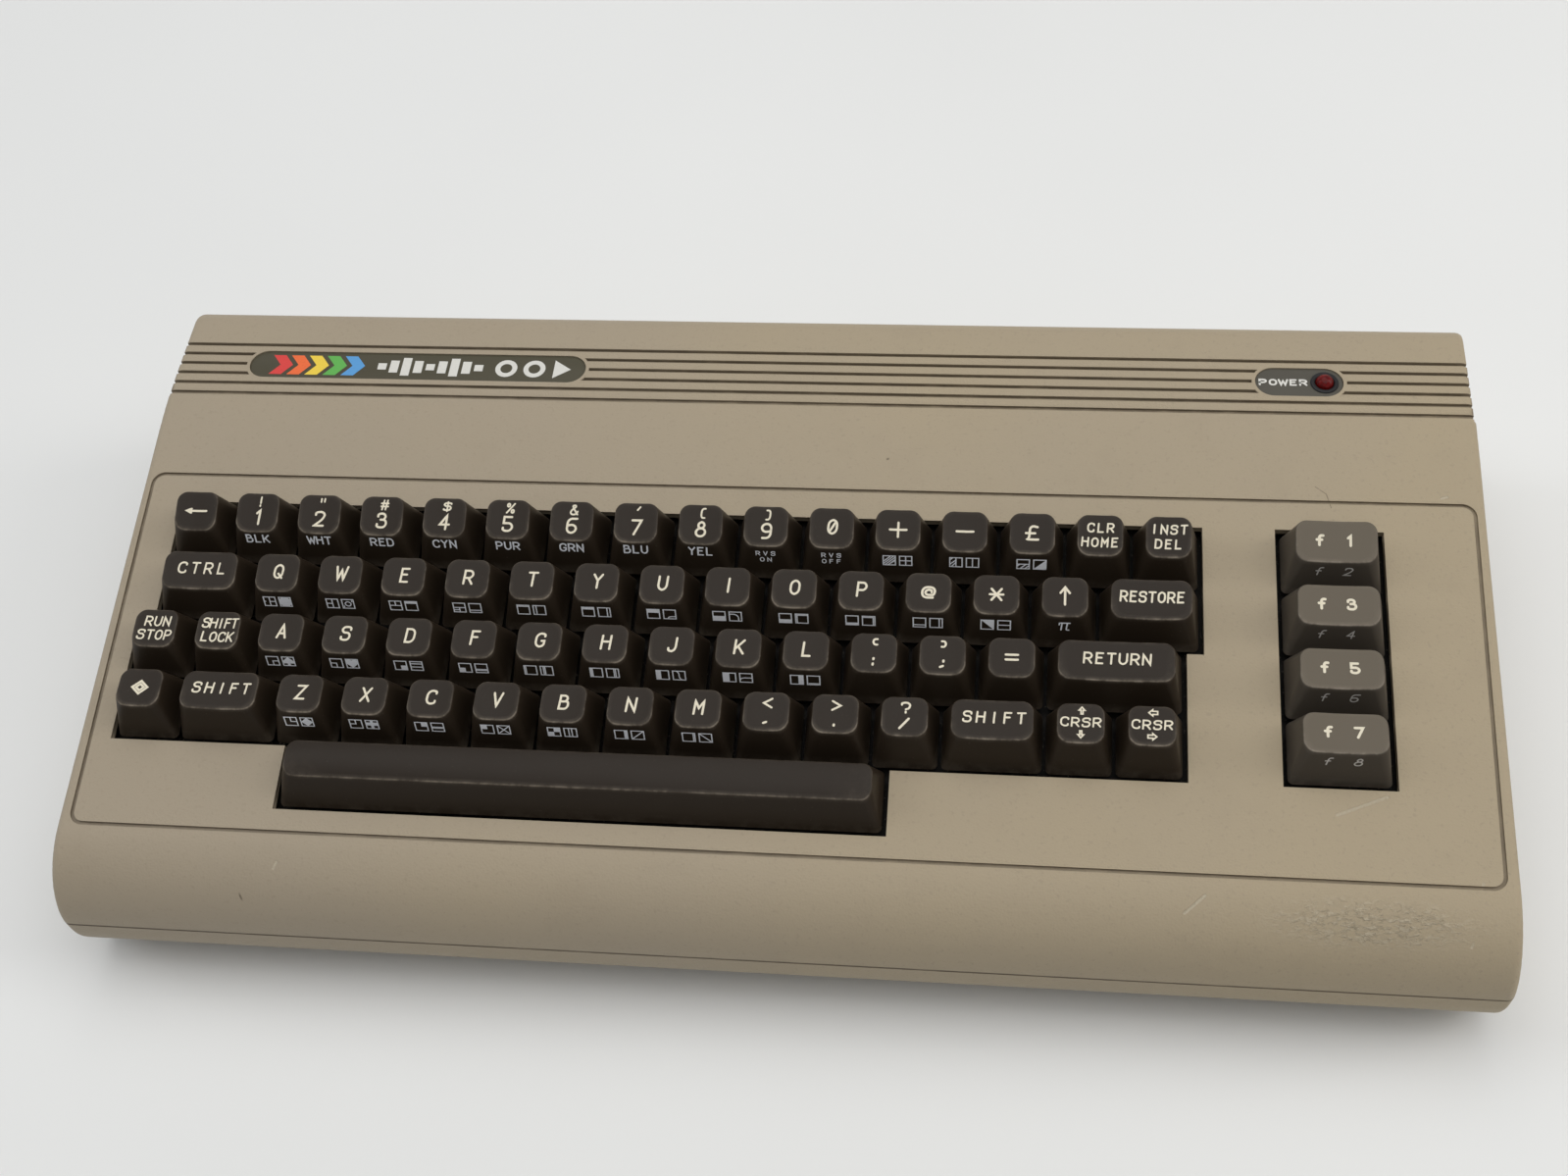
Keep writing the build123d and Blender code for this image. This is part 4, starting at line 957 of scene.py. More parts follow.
def fixed(piece: Piece, body: str = CASE_BODY, slot: str | None = None, node: str | None = None) -> Piece:
    """Makes a piece ride on a body.

    Args:
        piece: The piece.
        body: The body.
        slot: The material slot that its finish goes by. It is not used.
        node: The CAD node whose place it takes.

    Returns:
        The piece.
    """
    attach(piece, body)
    if node:
        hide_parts(node)
    return piece


def merged_copy(node: str, name: str, finish: Palette, angle: float = SMOOTH_ANGLE) -> Piece:
    """Copies a CAD node, joins its loose triangles and shades its curved faces smooth.

    Args:
        node: The CAD node to copy.
        name: The copy's name.
        finish: Its finish.
        angle: Edges sharper than this, in degrees, stay sharp.

    Returns:
        The copy, which is not yet riding on a body.
    """
    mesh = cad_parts[node].data.copy()
    mesh.name = name
    shape = bmesh.new()
    shape.from_mesh(mesh)
    bmesh.ops.remove_doubles(shape, verts=shape.verts, dist=CAD_DOUBLES)
    bmesh.ops.dissolve_degenerate(shape, edges=shape.edges, dist=OWN_DOUBLES)
    shape.to_mesh(mesh)
    shape.free()
    if mesh.has_custom_normals:
        mesh.attributes.remove(mesh.attributes["custom_normal"])
    mesh.materials.clear()
    mesh.materials.append(finish.material())
    made = bpy.data.objects.new(name, mesh)
    bpy.context.scene.collection.objects.link(made)
    mesh.polygons.foreach_set("use_smooth", [True] * len(mesh.polygons))
    mesh.set_sharp_from_angle(angle=math.radians(angle))
    weights = made.modifiers.new("weights", "WEIGHTED_NORMAL")
    weights.keep_sharp = True
    weights.weight = 90
    apply_modifiers(made)
    return made


def dressed(node: str, finish: Palette, slot: str, angle: float = SMOOTH_ANGLE) -> Piece:
    """Puts a smooth copy with its own finish in a CAD node's place, on the case."""
    return fixed(merged_copy(node, node + "_dressed", finish, angle), CASE_BODY, slot, node)


def apply_modifiers(made: Piece) -> None:
    """Turns what an object's modifiers make into its plain mesh, and removes them.

    Args:
        made: The object.
    """
    bpy.context.view_layer.update()
    graph = bpy.context.evaluated_depsgraph_get()
    mesh = bpy.data.meshes.new_from_object(made.evaluated_get(graph))
    made.modifiers.clear()
    made.data = mesh


def joined(name: str, parts: Sequence[Piece]) -> Piece:
    """Joins several objects of one material into the first one.

    Args:
        name: What the result is called.
        parts: The objects. All but the first are removed.

    Returns:
        The first object.
    """
    target, *others = parts
    shape = bmesh.new()
    for part in parts:
        shape.from_mesh(part.data)
    shape.to_mesh(target.data)
    shape.free()
    for other in others:
        bpy.data.objects.remove(other)
    target.name = name
    return target


def solid_boxes(node: str) -> list[tuple[Vector, Vector]]:
    """Finds the box around each separate solid of a CAD node.

    Args:
        node: The CAD node.

    Returns:
        The lowest and the highest corner of each box, in metres.
    """
    shape = bmesh.new()
    shape.from_mesh(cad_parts[node].data)
    bmesh.ops.remove_doubles(shape, verts=shape.verts, dist=CAD_DOUBLES)
    seen: set[int] = set()
    boxes = []
    for start in shape.verts:
        if start.index in seen:
            continue
        stack, group = [start], []
        seen.add(start.index)
        while stack:
            here = stack.pop()
            group.append(here.co.copy())
            for edge in here.link_edges:
                other = edge.other_vert(here)
                if other.index not in seen:
                    seen.add(other.index)
                    stack.append(other)
        low, high = (Vector([end(p[axis] for p in group) for axis in range(3)]) for end in (min, max))
        boxes.append((low, high))
    shape.free()
    return boxes


class GeometryTree:
    """A geometry node group that puts a copy of one form on every point."""

    def __init__(self, name: str) -> None:
        """Starts a group with its geometry input and output.

        Args:
            name: The group's name.
        """
        self.group = bpy.data.node_groups.new(name, "GeometryNodeTree")
        for way in ("OUTPUT", "INPUT"):
            self.group.interface.new_socket("Geometry", in_out=way, socket_type="NodeSocketGeometry")
        self.start = self.group.nodes.new("NodeGroupInput")
        self.end = self.group.nodes.new("NodeGroupOutput")

    def size(self, name: str, kind: str = "NodeSocketFloat") -> bpy.types.NodeSocket:
        """Adds a named input for a size."""
        self.group.interface.new_socket(name, in_out="INPUT", socket_type=kind)
        return self.start.outputs[name]

    def node(self, kind: str, inputs: Inputs) -> bpy.types.NodeSocket:
        """Adds any node and returns its first output."""
        return add_node(self.group, kind, None, inputs).outputs[0]

    def finish(self, form: bpy.types.NodeSocket, finish: Palette, turn: Place = (0.0, 0.0, 0.0)) -> None:
        """Ends the group: a copy on every point, instances made real, then the material.

        Args:
            form: What is copied.
            finish: Its finish.
            turn: How each copy is turned.
        """
        inputs = {"Points": self.start.outputs["Geometry"], "Instance": form, "Rotation": turn}
        placed = self.node("GeometryNodeInstanceOnPoints", inputs)
        real = self.node("GeometryNodeRealizeInstances", {0: placed})
        painted = self.node("GeometryNodeSetMaterial", {0: real, "Material": finish.material()})
        self.group.links.new(painted, self.end.inputs[0])

    def run(self, name: str, points: Sequence[Place], sizes: dict[str, Any]) -> Piece:
        """Runs the group over points and keeps the result as a plain mesh.

        Args:
            name: The new object's name.
            points: Where the copies stand.
            sizes: Values of the named inputs.

        Returns:
            The object with its mesh in place and no modifier left.
        """
        made = mesh_object(name, points, [], [])
        modifier = made.modifiers.new("grow", "NODES")
        modifier.node_group = self.group
        for item in self.group.interface.items_tree:
            if item.in_out == "INPUT" and item.name in sizes:
                modifier[item.identifier] = sizes[item.name]
        apply_modifiers(made)
        return made


# --- Case ---


@dataclass
class CaseShell:
    """The two halves of the case."""

    smooth_angle: float = 34.0

    def build(self) -> list[Piece]:
        """Smooth copies of both halves."""
        halves = ("top_case", "bottom_case")
        return [dressed(node, Palette.CASE, "case_plastic", self.smooth_angle) for node in halves]


# --- Lettering ---

# Each glyph is drawn with strokes on a grid 9 high. A stroke starts with the radius of its
# rounded corners; then come its points, the rounded ones marked r, and z closes it.
GLYPH_GRID = 9
GLYPHS = {
    "A": "0 00 39 60/0 13 53",
    "B": "2.2 05 55r 59r 09 00 60r 65r 45",
    "C": "3 67 69r 09r 00r 60r 62",
    "D": "3 00 09 69r 60r z",
    "E": "0 59 09 00 50/0 05 45",
    "F": "0 59 09 00/0 05 45",
    "G": "3 67 69r 09r 00r 60r 64 44",
    "H": "0 00 09/0 60 69/0 05 65",
    "I": "0 00 09",
    "J": "3 59 50r 00r 02",
    "K": "0 00 09/0 69 03/0 25 60",
    "L": "0 09 00 50",
    "M": "0 00 09 34 69 60",
    "N": "0 00 09 60 69",
    "O": "3 00r 60r 69r 09r z",
    "P": "2.5 00 09 69r 64r 04",
    "Q": "3 00r 60r 69r 09r z/0 33 60",
    "R": "2.5 00 09 69r 64r 04/0 34 60",
    "S": "2.2 67 69r 09r 05r 65r 60r 00r 02",
    "T": "0 30 39/0 09 69",
    "U": "3 09 00r 60r 69",
    "V": "0 09 30 69",
    "W": "0 09 20 47 60 89",
    "X": "0 00 69/0 09 60",
    "Y": "0 30 35/0 09 35 69",
    "Z": "0 09 69 00 60",
    "0": "3 00r 60r 69r 09r z/0 11 58",
    "1": "0 17 39 30",
    "2": "2.7 07 09r 69r 65r 00 60",
    "3": "2.2 07 09r 59r 55r 25/2.2 25 65r 60r 00r 02",
    "4": "0 40 49 03 63",
    "5": "2.5 59 09 05 65r 60r 00r 02",
    "6": "2.6 69 09r 00r 60r 65r 05r 03",
    "7": "0 09 69 20",
    "8": "2.3 15r 55r 59r 19r z/2.4 00r 60r 65r 05r z",
    "9": "2.6 10 60r 69r 09r 04r 64r 66",
    "f": "2.2 59 29r 20/0 05 45",
    "!": "0 39 33/0 31 30",
    '"': "0 19 16/0 49 46",
    "#": "0 10 29/0 40 59/0 03 63/0 06 66",
    "$": "2 67 68r 08r 05r 65r 61r 01r 02/0 39 30",
    "%": "0 00 69/1 09r 29r 26r 06r z/1 40r 60r 63r 43r z",
    "&": "2 60 18r 29r 49r 47r 04r 00r 50r 63",
    "'": "0 39 16",
    "(": "3 59r 29r 20r 50",
    ")": "3 19r 49r 40r 10",
    "[": "3 59 29r 24r 54",
    "]": "3 19 49r 44r 14",
    "+": "0 04 84/0 48 40",
    "-": "0 04 84",
    "=": "0 02 82/0 06 86",
    "*": "0 04 84/0 18 70/0 10 78",
    "@": "3 64 66r 26r 22r 62r 82r 88r 08r 00r 70",
    "£": "2.5 68 29r 20r 00 70/0 04 54",
    "↑": "0 40 49/0 26 49 66",
    "←": "0 04 94/0 25 04 23",
    ":": "0 30 31/0 35 36",
    ";": "0 31 10/0 35 36",
    ",": "0 31 10",
    ".": "0 30 31",
    "<": "0 68 04 60",
    ">": "0 08 64 00",
    "/": "0 00 69",
    "?": "2.5 07 09r 69r 64r 33/0 31 30",
    "π": "1 06 09r 08 88/0 28 20/1 68 60r 80",
    "◇": "0 04 48 84 40 z/0 24 46 64 42 z",
    "⇑": "0 30 35 15 49 75 55 50 z",
    "⇓": "0 39 34 14 40 74 54 59 z",
    "⇐": "0 93 43 41 05 49 47 97 z",
    "⇒": "0 03 53 51 95 59 57 07 z",
}

# Small line pictures in a square 8 wide. A part that starts with # is filled.
PICTURE_GRID = 8
PICTURES = {
    "Q": ("0 40 48/0 44 84/0 04 14", "#20 60 82 86 68 28 06 02"),
    "W": ("0 40 48/0 04 44", "2.4 22r 62r 66r 26r z/0 11 12/0 76 77"),
    "E": ("0 04 84/0 44 48", "#06 86 88 08"),
    "R": ("0 04 84/0 40 44/0 02 42", "0 02 82"),
    "T": ("0 07 87", "0 20 28"),
    "Y": ("#06 86 88 08", "0 60 68"),
    "U": ("#05 85 88 08", "4 82r 32r 30"),
    "I": ("#00 80 84 04", "4 06r 66r 60"),
    "O": ("#00 80 83 03", "0 10 17 87"),
    "P": ("#00 80 82 02", "0 07 77 70"),
    "A": ("0 40 44 84", "#02 82 84 48 04/#30 50 52 32"),
    "S": ("0 04 44 40", "#40 84 87 68 47 28 07 04"),
    "D": ("#40 80 84 44", "0 03 83/0 06 86"),
    "F": ("#00 40 44 04", "0 03 83/0 02 82"),
    "G": ("0 10 18", "0 30 38/0 20 28"),
    "H": ("#00 20 28 08", "0 50 58/0 60 68"),
    "J": ("#00 30 38 08", "3 08r 48r 40r 80"),
    "K": ("#00 40 48 08", "3 00r 04r 84 80"),
    "L": ("#50 80 88 58", "0 11 81"),
    "Z": ("0 48 44 84", "#40 84 48 04"),
    "X": ("0 04 44 48", "#30 50 53 83 86 56 58 38 36 06 03 33"),
    "C": ("#44 84 88 48", "0 03 83/0 04 84"),
    "V": ("#04 44 48 08", "0 00 88/0 08 80"),
    "B": ("#00 40 44 04/#44 84 88 48", "0 30 38/0 50 58"),
    "N": ("#60 80 88 68", "0 00 88"),
    "M": ("0 70 78", "0 08 80"),
    "+": ("0 01 78/0 10 87/0 41 84/0 03 58/0 30 85", "0 40 48/0 04 84"),
    "-": ("0 02 46/0 10 44/0 06 28/0 40 48", "0 40 48"),
    "£": ("0 02 24/0 20 64/0 50 83/0 04 84", "#00 80 88"),
    "@": ("0 02 82", "0 60 68"),
    "*": ("#80 88 08", "0 04 84"),
}


@dataclass(frozen=True)
class Line:
    """Where and how a line of glyphs is written, in millimetres.

    The height is that of a capital with its strokes' ends, and the pitch is the distance
    between the middles of two glyphs. The slant is the sideways lean for each unit of
    height, and the breadth is a stretch along the line.
    """

    middle: Point
    height: float
    pitch: float
    stroke: float
    slant: float = 0.07
    breadth: float = 1.12


@dataclass(frozen=True)
class Stroke:
    """One stroke of a glyph, in grid units."""

    points: tuple[Point, ...]
    closed: bool = False

    @classmethod
    def read(cls, text: str) -> Stroke:
        """Reads a stroke from its notation and rounds the marked corners.

        Args:
            text: The notation.

        Returns:
            The stroke.
        """
        radius, *words = text.split()
        closed = words[-1] == "z"
        corners = [(float(w[0]), float(w[1]), w.endswith("r")) for w in words if w != "z"]
        return cls(tuple(cls._rounded(corners, float(radius), closed)), closed)

    @staticmethod
    def _rounded(corners: list[tuple[float, float, bool]], radius: float, closed: bool) -> list[Point]:
        """Replaces each marked corner by a short arc.

        Args:
            corners: X, Y and whether the corner is rounded.
            radius: How far from the corner an arc starts.
            closed: Whether the last corner meets the first.

        Returns:
            The points of the rounded line.
        """
        result: list[Point] = []
        count = len(corners)
        for i, (x, y, is_round) in enumerate(corners):
            if not is_round or (not closed and i in (0, count - 1)):
                result.append((x, y))
                continue
            here = np.array((x, y))
            arms = []
            for other in (corners[i - 1], corners[(i + 1) % count]):
                way = np.array(other[:2]) - here
                span = np.linalg.norm(way)
                arms.append(here + way / span * min(radius, span / 2))
            pull = 0.15 * arms[0] + 0.7 * here + 0.15 * arms[1]
            for t in (0.0, 0.25, 0.5, 0.75, 1.0):
                point = (1 - t) ** 2 * arms[0] + 2 * t * (1 - t) * pull + t**2 * arms[1]
                result.append((float(point[0]), float(point[1])))
        return result


@dataclass
class Pen(Shape):
    """Collects flat print as strips and polygons, in a plane with u to the right and v up.

    Long edges are cut into steps, so that the print can follow a curved face. Each strip has
    one of several heights, so that strips that cross don't share a plane.
    """

    step: float = 0.9
    layer_height: float = 0.004
    layers: int = 9
    layer: int = 0
    cap_angles: tuple[float, ...] = (0.6, 1.1, 1.45)
    sharpest: float = 0.45

    def polygon(self, outline: Sequence[Point]) -> None:
        """Fills a convex or star-shaped outline from its middle.

        Args:
            outline: Its corners.
        """
        dense: list[Point] = []
        for (x0, y0), (x1, y1) in zip(outline, [*outline[1:], outline[0]]):
            parts = max(1, math.ceil(math.hypot(x1 - x0, y1 - y0) / self.step))
            dense += [(x0 + (x1 - x0) * k / parts, y0 + (y1 - y0) * k / parts) for k in range(parts)]
        count = len(dense)
        middle = (sum(p[0] for p in dense) / count, sum(p[1] for p in dense) / count)
        lift = self._next_lift()
        fan = [(0, 1 + k, 1 + (k + 1) % count) for k in range(count)]
        self.add([(*p, lift) for p in (middle, *dense)], fan)

    def strip(self, line: Sequence[Point], width: float, closed: bool = False) -> None:
        """Draws a line of even width with round ends.

        Args:
            line: Its points.
            width: Its width.
            closed: Whether it ends where it starts.
        """
        path = self._dense(line, closed)
        count = len(path)
        sides: list[tuple[np.ndarray, np.ndarray]] = []
        for i, here in enumerate(path):
            ways = []
            if i or closed:
                ways.append(here - path[i - 1])
            if i < count - 1 or closed:
                ways.append(path[(i + 1) % count] - here)
            ways = [way / np.linalg.norm(way) for way in ways]
            middle = sum(ways)
            middle = middle / max(np.linalg.norm(middle), 1e-9)
            normal = np.array((-middle[1], middle[0]))
            reach = width / 2 / max(self.sharpest, abs(float(np.dot(middle, ways[0]))))
            sides.append((here + normal * reach, here - normal * reach))
        if not closed:
            start = self._cap(path[0] - path[1], path[0], width / 2)[::-1]
            sides = start + sides + self._cap(path[-1] - path[-2], path[-1], -width / 2)
        self._weave(sides, closed)

    def _next_lift(self) -> float:
        """The height of the next strip."""
        self.layer = (self.layer + 1) % self.layers
        return self.layer * self.layer_height

    def _dense(self, line: Sequence[Point], closed: bool) -> list[np.ndarray]:
        """Cuts a line into steps.

        Args:
            line: Its points.
            closed: Whether it ends where it starts.

        Returns:
            Points no further apart than one step.
        """
        ends = list(line) + ([line[0]] if closed else [])
        path: list[np.ndarray] = []
        for start, end in zip(ends, ends[1:]):
            a, b = np.array(start), np.array(end)
            span = np.linalg.norm(b - a)
            if span < 1e-6:
                continue
            parts = max(1, math.ceil(span / self.step))
            path += [a + (b - a) * k / parts for k in range(parts)]
        if not closed:
            path.append(np.array(ends[-1]))
        return path

    def _cap(self, outward: np.ndarray, end: np.ndarray, radius: float) -> list[Any]:
        """Works out the cross-sections of a round end, from the line outwards.

        Args:
            outward: The way out of the line.
            end: The line's end.
            radius: Half the line's width, below zero at the line's last end.

        Returns:
            The left and right point of each cross-section.
        """
        way = outward / np.linalg.norm(outward)
        normal = np.array((way[1], -way[0]))
        sections = []
        for angle in self.cap_angles:
            middle = end + way * abs(radius) * math.sin(angle)
            side = normal * radius * math.cos(angle)
            sections.append((middle + side, middle - side))
        return sections

    def _weave(self, sides: Sequence[tuple[np.ndarray, np.ndarray]], closed: bool) -> None:
        """Joins cross-sections into faces.

        Args:
            sides: The left and right point of each.
            closed: Whether the last one meets the first.
        """
        lift = self._next_lift()
        count = len(sides)
        pairs = [(2 * i, 2 * ((i + 1) % count)) for i in range(count if closed else count - 1)]
        points = [(float(point[0]), float(point[1]), lift) for side in sides for point in side]
        self.add(points, [(a + 1, b + 1, b, a) for a, b in pairs])

    def text(self, words: str, line: Line) -> None:
        """Writes a line of glyphs.

        Args:
            words: The glyphs.
            line: Where and how they are written.
        """
        unit = (line.height - line.stroke) / GLYPH_GRID
        for i, glyph in enumerate(words):
            strokes = [Stroke.read(part) for part in GLYPHS[glyph].split("/")]
            across = [x for stroke in strokes for x, _ in stroke.points]
            centre = (min(across) + max(across)) / 2
            u = line.middle[0] + (i - (len(words) - 1) / 2) * line.pitch
            for stroke in strokes:
                placed = []
                for x, y in stroke.points:
                    v = (y - GLYPH_GRID / 2) * unit
                    across_line = u + (x - centre) * unit * line.breadth + v * line.slant
                    placed.append((across_line, line.middle[1] + v))
                self.strip(placed, line.stroke, stroke.closed)

    def picture(self, drawing: str, middle: Point, size: Point, stroke: float) -> None:
        """Draws a framed line picture.

        Args:
            drawing: Its notation.
            middle: Its middle.
            size: Its width and height.
            stroke: Width of its lines.
        """
        grid = PICTURE_GRID

        def placed(x: float, y: float) -> Point:
            """A grid point in the plane."""
            return (middle[0] + (x - grid / 2) / grid * size[0], middle[1] + (y - grid / 2) / grid * size[1])

        self.strip([placed(0, 0), placed(grid, 0), placed(grid, grid), placed(0, grid)], stroke, closed=True)
        for part in drawing.split("/"):
            if part.startswith("#"):
                self.polygon([placed(float(w[0]), float(w[1])) for w in part[1:].split()])
            else:
                line = Stroke.read(part)
                self.strip([placed(*p) for p in line.points], stroke, line.closed)


# --- Keyboard ---

KEY_PITCH = 19.05
SPACE_ROW = 4
SPACE_PLUNGERS = (-55.0, 0.0, 55.0)


@dataclass(frozen=True)
class Key:
    """One key: its node, its middle on the panel, its width in pitches, its row and its print."""

    node: str
    x: float
    y: float
    units: float
    row: int
    label: str


@dataclass
class KeyLayout:
    """Where all the keys stand on the panel, in millimetres, and what is printed on each."""

    pitch: float = KEY_PITCH
    left: float = -185.2
    first_row: float = 94.35
    row_starts: tuple[float, ...] = (0.0, 0.0, -0.25, -0.25, 2.5)
    function_x: float = 156.0875
    function_units: float = 1.5
    function_rows: int = 4
    rows: tuple[str, ...] = (
        "← !1 \"2 #3 $4 %5 &6 '7 (8 )9 0 + - £ CLR_HOME INST_DEL",
        "CTRL Q W E R T Y U I O P @ * ↑ RESTORE",
        "RUN_STOP SHIFT_LOCK A S D F G H J K L [: ]; = RETURN",
        "◇ SHIFT Z X C V B N M <, >. ?/ SHIFT ⇑CRSR⇓ ⇐CRSR⇒",
        "SPACE",
    )
    wide: dict[str, float] = field(
        default_factory=lambda: {"CTRL": 1.5, "RESTORE": 1.5, "RETURN": 2.0, "SHIFT": 1.5, "SPACE": 9.0}
    )
    single_nodes: dict[str, str] = field(
        default_factory=lambda: {
            "SPACE": "space_bar",
            "SHIFT_LOCK": "shift_lock_key",
            "RETURN": "return_key",
        }
    )
    command_labels: tuple[str, ...] = ("CLR_HOME", "INST_DEL", "CTRL", "RESTORE", "RUN_STOP", "◇")

    def node_of(self, label: str, x: float) -> str:
        """Finds the node that a key belongs to.

        Args:
            label: The key's print.
            x: Its middle, which tells the two shift keys apart.

        Returns:
            The node's name.
        """
        if label in self.single_nodes:
            return self.single_nodes[label]
        if label == "SHIFT":
            return "left_shift_key" if x < 0 else "right_shift_key"
        if label in self.command_labels:
            return "command_keys"
        if "CRSR" in label:
            return "cursor_keys"
        if label[-1].isdigit():
            return "digit_keys"
        is_letter = len(label) == 1 and label.isascii() and label.isalpha()
        return "key_" + label.lower() if is_letter else "symbol_keys"

    def keys(self) -> list[Key]:
        """Lists every key.

        Returns:
            The keys row by row from the rear, then the function keys.
        """
        made = []
        for row, labels in enumerate(self.rows):
            x = self.left + self.row_starts[row] * self.pitch
            y = self.first_row - row * self.pitch
            for label in labels.split():
                units = self.wide.get(label, 1.0)
                middle = x + units * self.pitch / 2
                made.append(Key(self.node_of(label, middle), middle, y, units, row, label))
                x += units * self.pitch
        for row in range(self.function_rows):
            y = self.first_row - row * self.pitch
            label = f"f{2 * row + 1}"
            made.append(Key("function_keys", self.function_x, y, self.function_units, row, label))
        return made


@dataclass
class CapShape:
    """A keycap's form, in millimetres: a tapered body with a rounded rim, a dish and a plunger."""

    units: float
    row: int
    pitch: float = KEY_PITCH
    gap: float = 0.85
    side_slope: float = 2.75
    slopes: Point = (5.0, 1.7)
    space_slopes: Point = (6.3, 1.9)
    base_radius: float = 1.6
    top_radius: float = 3.3
    skirt: float = 2.0
    dish: float = 0.55
    crown: float = 0.8
    deepest_crown: float = 1.6
    shell: float = 1.3
    top_shell: float = 2.0
    rim: float = 0.42
    foot_chamfer: float = 0.25
    # Shares of the pale rim colour, rubbed edges and painted highlight: at the foot, across the rim, at the
    # rear and on the space bar.
    foot_wear_and_highlight: float = 0.25
    wall_levels: tuple[float, ...] = (0.3, 0.55, 0.78, 0.92)
    rim_wear_and_highlight: tuple[Point, ...] = ((0.0, 0.15), (0.25, 0.7), (0.5, 1.0), (0.75, 0.7), (1.0, 0.2))
    rear_wear_and_highlight: float = 0.25
    space_wear_and_highlight: float = 0.6
    top_rings: tuple[float, ...] = (0.86, 0.66, 0.44, 0.22)
    plunger_radius: float = 3.0
    plunger_reach: float = 9.2
    plunger_offset: float = 1.65
    plunger_points: int = 24
    heights: tuple[float, ...] = (11.2, 10.1, 10.1, 11.0, 9.2)
    leans: tuple[float, ...] = (11.0, 4.0, 0.0, -4.0, 0.0)
    corner_steps: int = 7
    side_steps: int = 5

    def __post_init__(self) -> None:
        """Works out the base and the top."""
        self.is_space = self.row == SPACE_ROW
        front, rear = self.space_slopes if self.is_space else self.slopes
        self.base = (self.units * self.pitch - self.gap, self.pitch - self.gap)
        self.top = (self.base[0] - 2 * self.side_slope, self.base[1] - front - rear)
        self.shift = (front - rear) / 2
        self.height = self.heights[self.row]
        self.slope = math.tan(math.radians(self.leans[self.row]))
        self.plungers = SPACE_PLUNGERS if self.is_space else (0.0,)
        self.points: list[Place] = []
        self.faces: list[Face] = []
        self.rim_wear_and_highlight_share: list[float] = []
        self.top_share: list[float] = []

    def outline(self, width: float, depth: float, radius: float, shift: float) -> np.ndarray:
        """A rounded rectangle with the same number of points at every size.

        Args:
            width: Size along X.
            depth: Size along Y.
            radius: Corner radius.
            shift: Middle along Y.

        Returns:
            The points, anticlockwise.
        """
        result: list[Point] = []
        half_w, half_d = width / 2 - radius, depth / 2 - radius
        signs = ((1, 1), (-1, 1), (-1, -1), (1, -1))
        corners = [(half_w * side, half_d * end, turn / 4) for turn, (side, end) in enumerate(signs)]
        long_steps = max(self.side_steps, int(self.side_steps * self.units))
        for i, (cx, cy, turn) in enumerate(corners):
            for k in range(self.corner_steps + 1):
                angle = math.tau * (turn + 0.25 * k / self.corner_steps)
                result.append((cx + radius * math.cos(angle), cy + radius * math.sin(angle)))
            nx, ny, next_turn = corners[(i + 1) % len(corners)]
            start = np.array(result[-1])
            way = math.tau * next_turn
            end = np.array((nx + radius * math.cos(way), ny + radius * math.sin(way)))
            steps = long_steps if i % 2 == 0 else self.side_steps
            for k in range(1, steps):
                result.append(tuple(start + (end - start) * k / steps))
        shifted = np.array(result)
        shifted[:, 1] += shift
        return shifted

    def surface_height(self, x: float, y: float) -> float:
        """Works out the height of the top's surface over a place.

        Args:
            x: The place along X.
            y: The place along Y.

        Returns:
            The height.
        """
        level = self.height + self.slope * (y - self.shift)
        if self.is_space:
            return level - self.crown * min(self.deepest_crown, ((y - self.shift) / (self.top[1] / 2)) ** 2)
        across = min(1.0, abs(2 * x / self.top[0]))
        return level - self.dish * (1 - across**2)

    def ring(self, points: np.ndarray, rim: float = 0.0, top: float = 0.0) -> list[int]:
        """Adds one ring of points with its attributes.

        Args:
            points: The points.
            rim: How much they take the rim's pale colour, rubbed edges and a painted highlight, before what
                the keys' front edge adds.
            top: How much they belong to the keytop.

        Returns:
            The points' numbers.
        """
        first = len(self.points)
        self.points += [tuple(p) for p in points]
        # The pale rim, a painted highlight as well as rubbed edges, is weighted towards the front edge.
        ahead = np.clip((self.shift - np.asarray(points)[:, 1]) / (self.top[1] / 2), 0.0, 1.0)
        wear_and_highlight = self.rear_wear_and_highlight + (1 - self.rear_wear_and_highlight) * ahead
        self.rim_wear_and_highlight_share += list(rim * wear_and_highlight * (self.space_wear_and_highlight if self.is_space else 1.0))
        self.top_share += [top] * len(points)
        return list(range(first, first + len(points)))

    def bridge(self, low: list[int], high: list[int]) -> None:
        """Joins two rings.

        Args:
            low: The lower or inner one.
            high: The upper or outer one.
        """
        count = len(low)
        for i in range(count):
            j = (i + 1) % count
            self.faces.append((low[i], low[j], high[j], high[i]))

    def close(self, ring: list[int], middle: Place, top: float, flip: bool = False) -> None:
        """Closes a ring with faces around its middle.

        Args:
            ring: The ring.
            middle: Its middle.
            top: How much the middle belongs to the keytop.
            flip: Whether the faces look down.
        """
        centre = self.ring(np.array([middle]), 0.0, top)[0]
        for i, here in enumerate(ring):
            after = ring[(i + 1) % len(ring)]
            self.faces.append((after, here, centre) if flip else (here, after, centre))

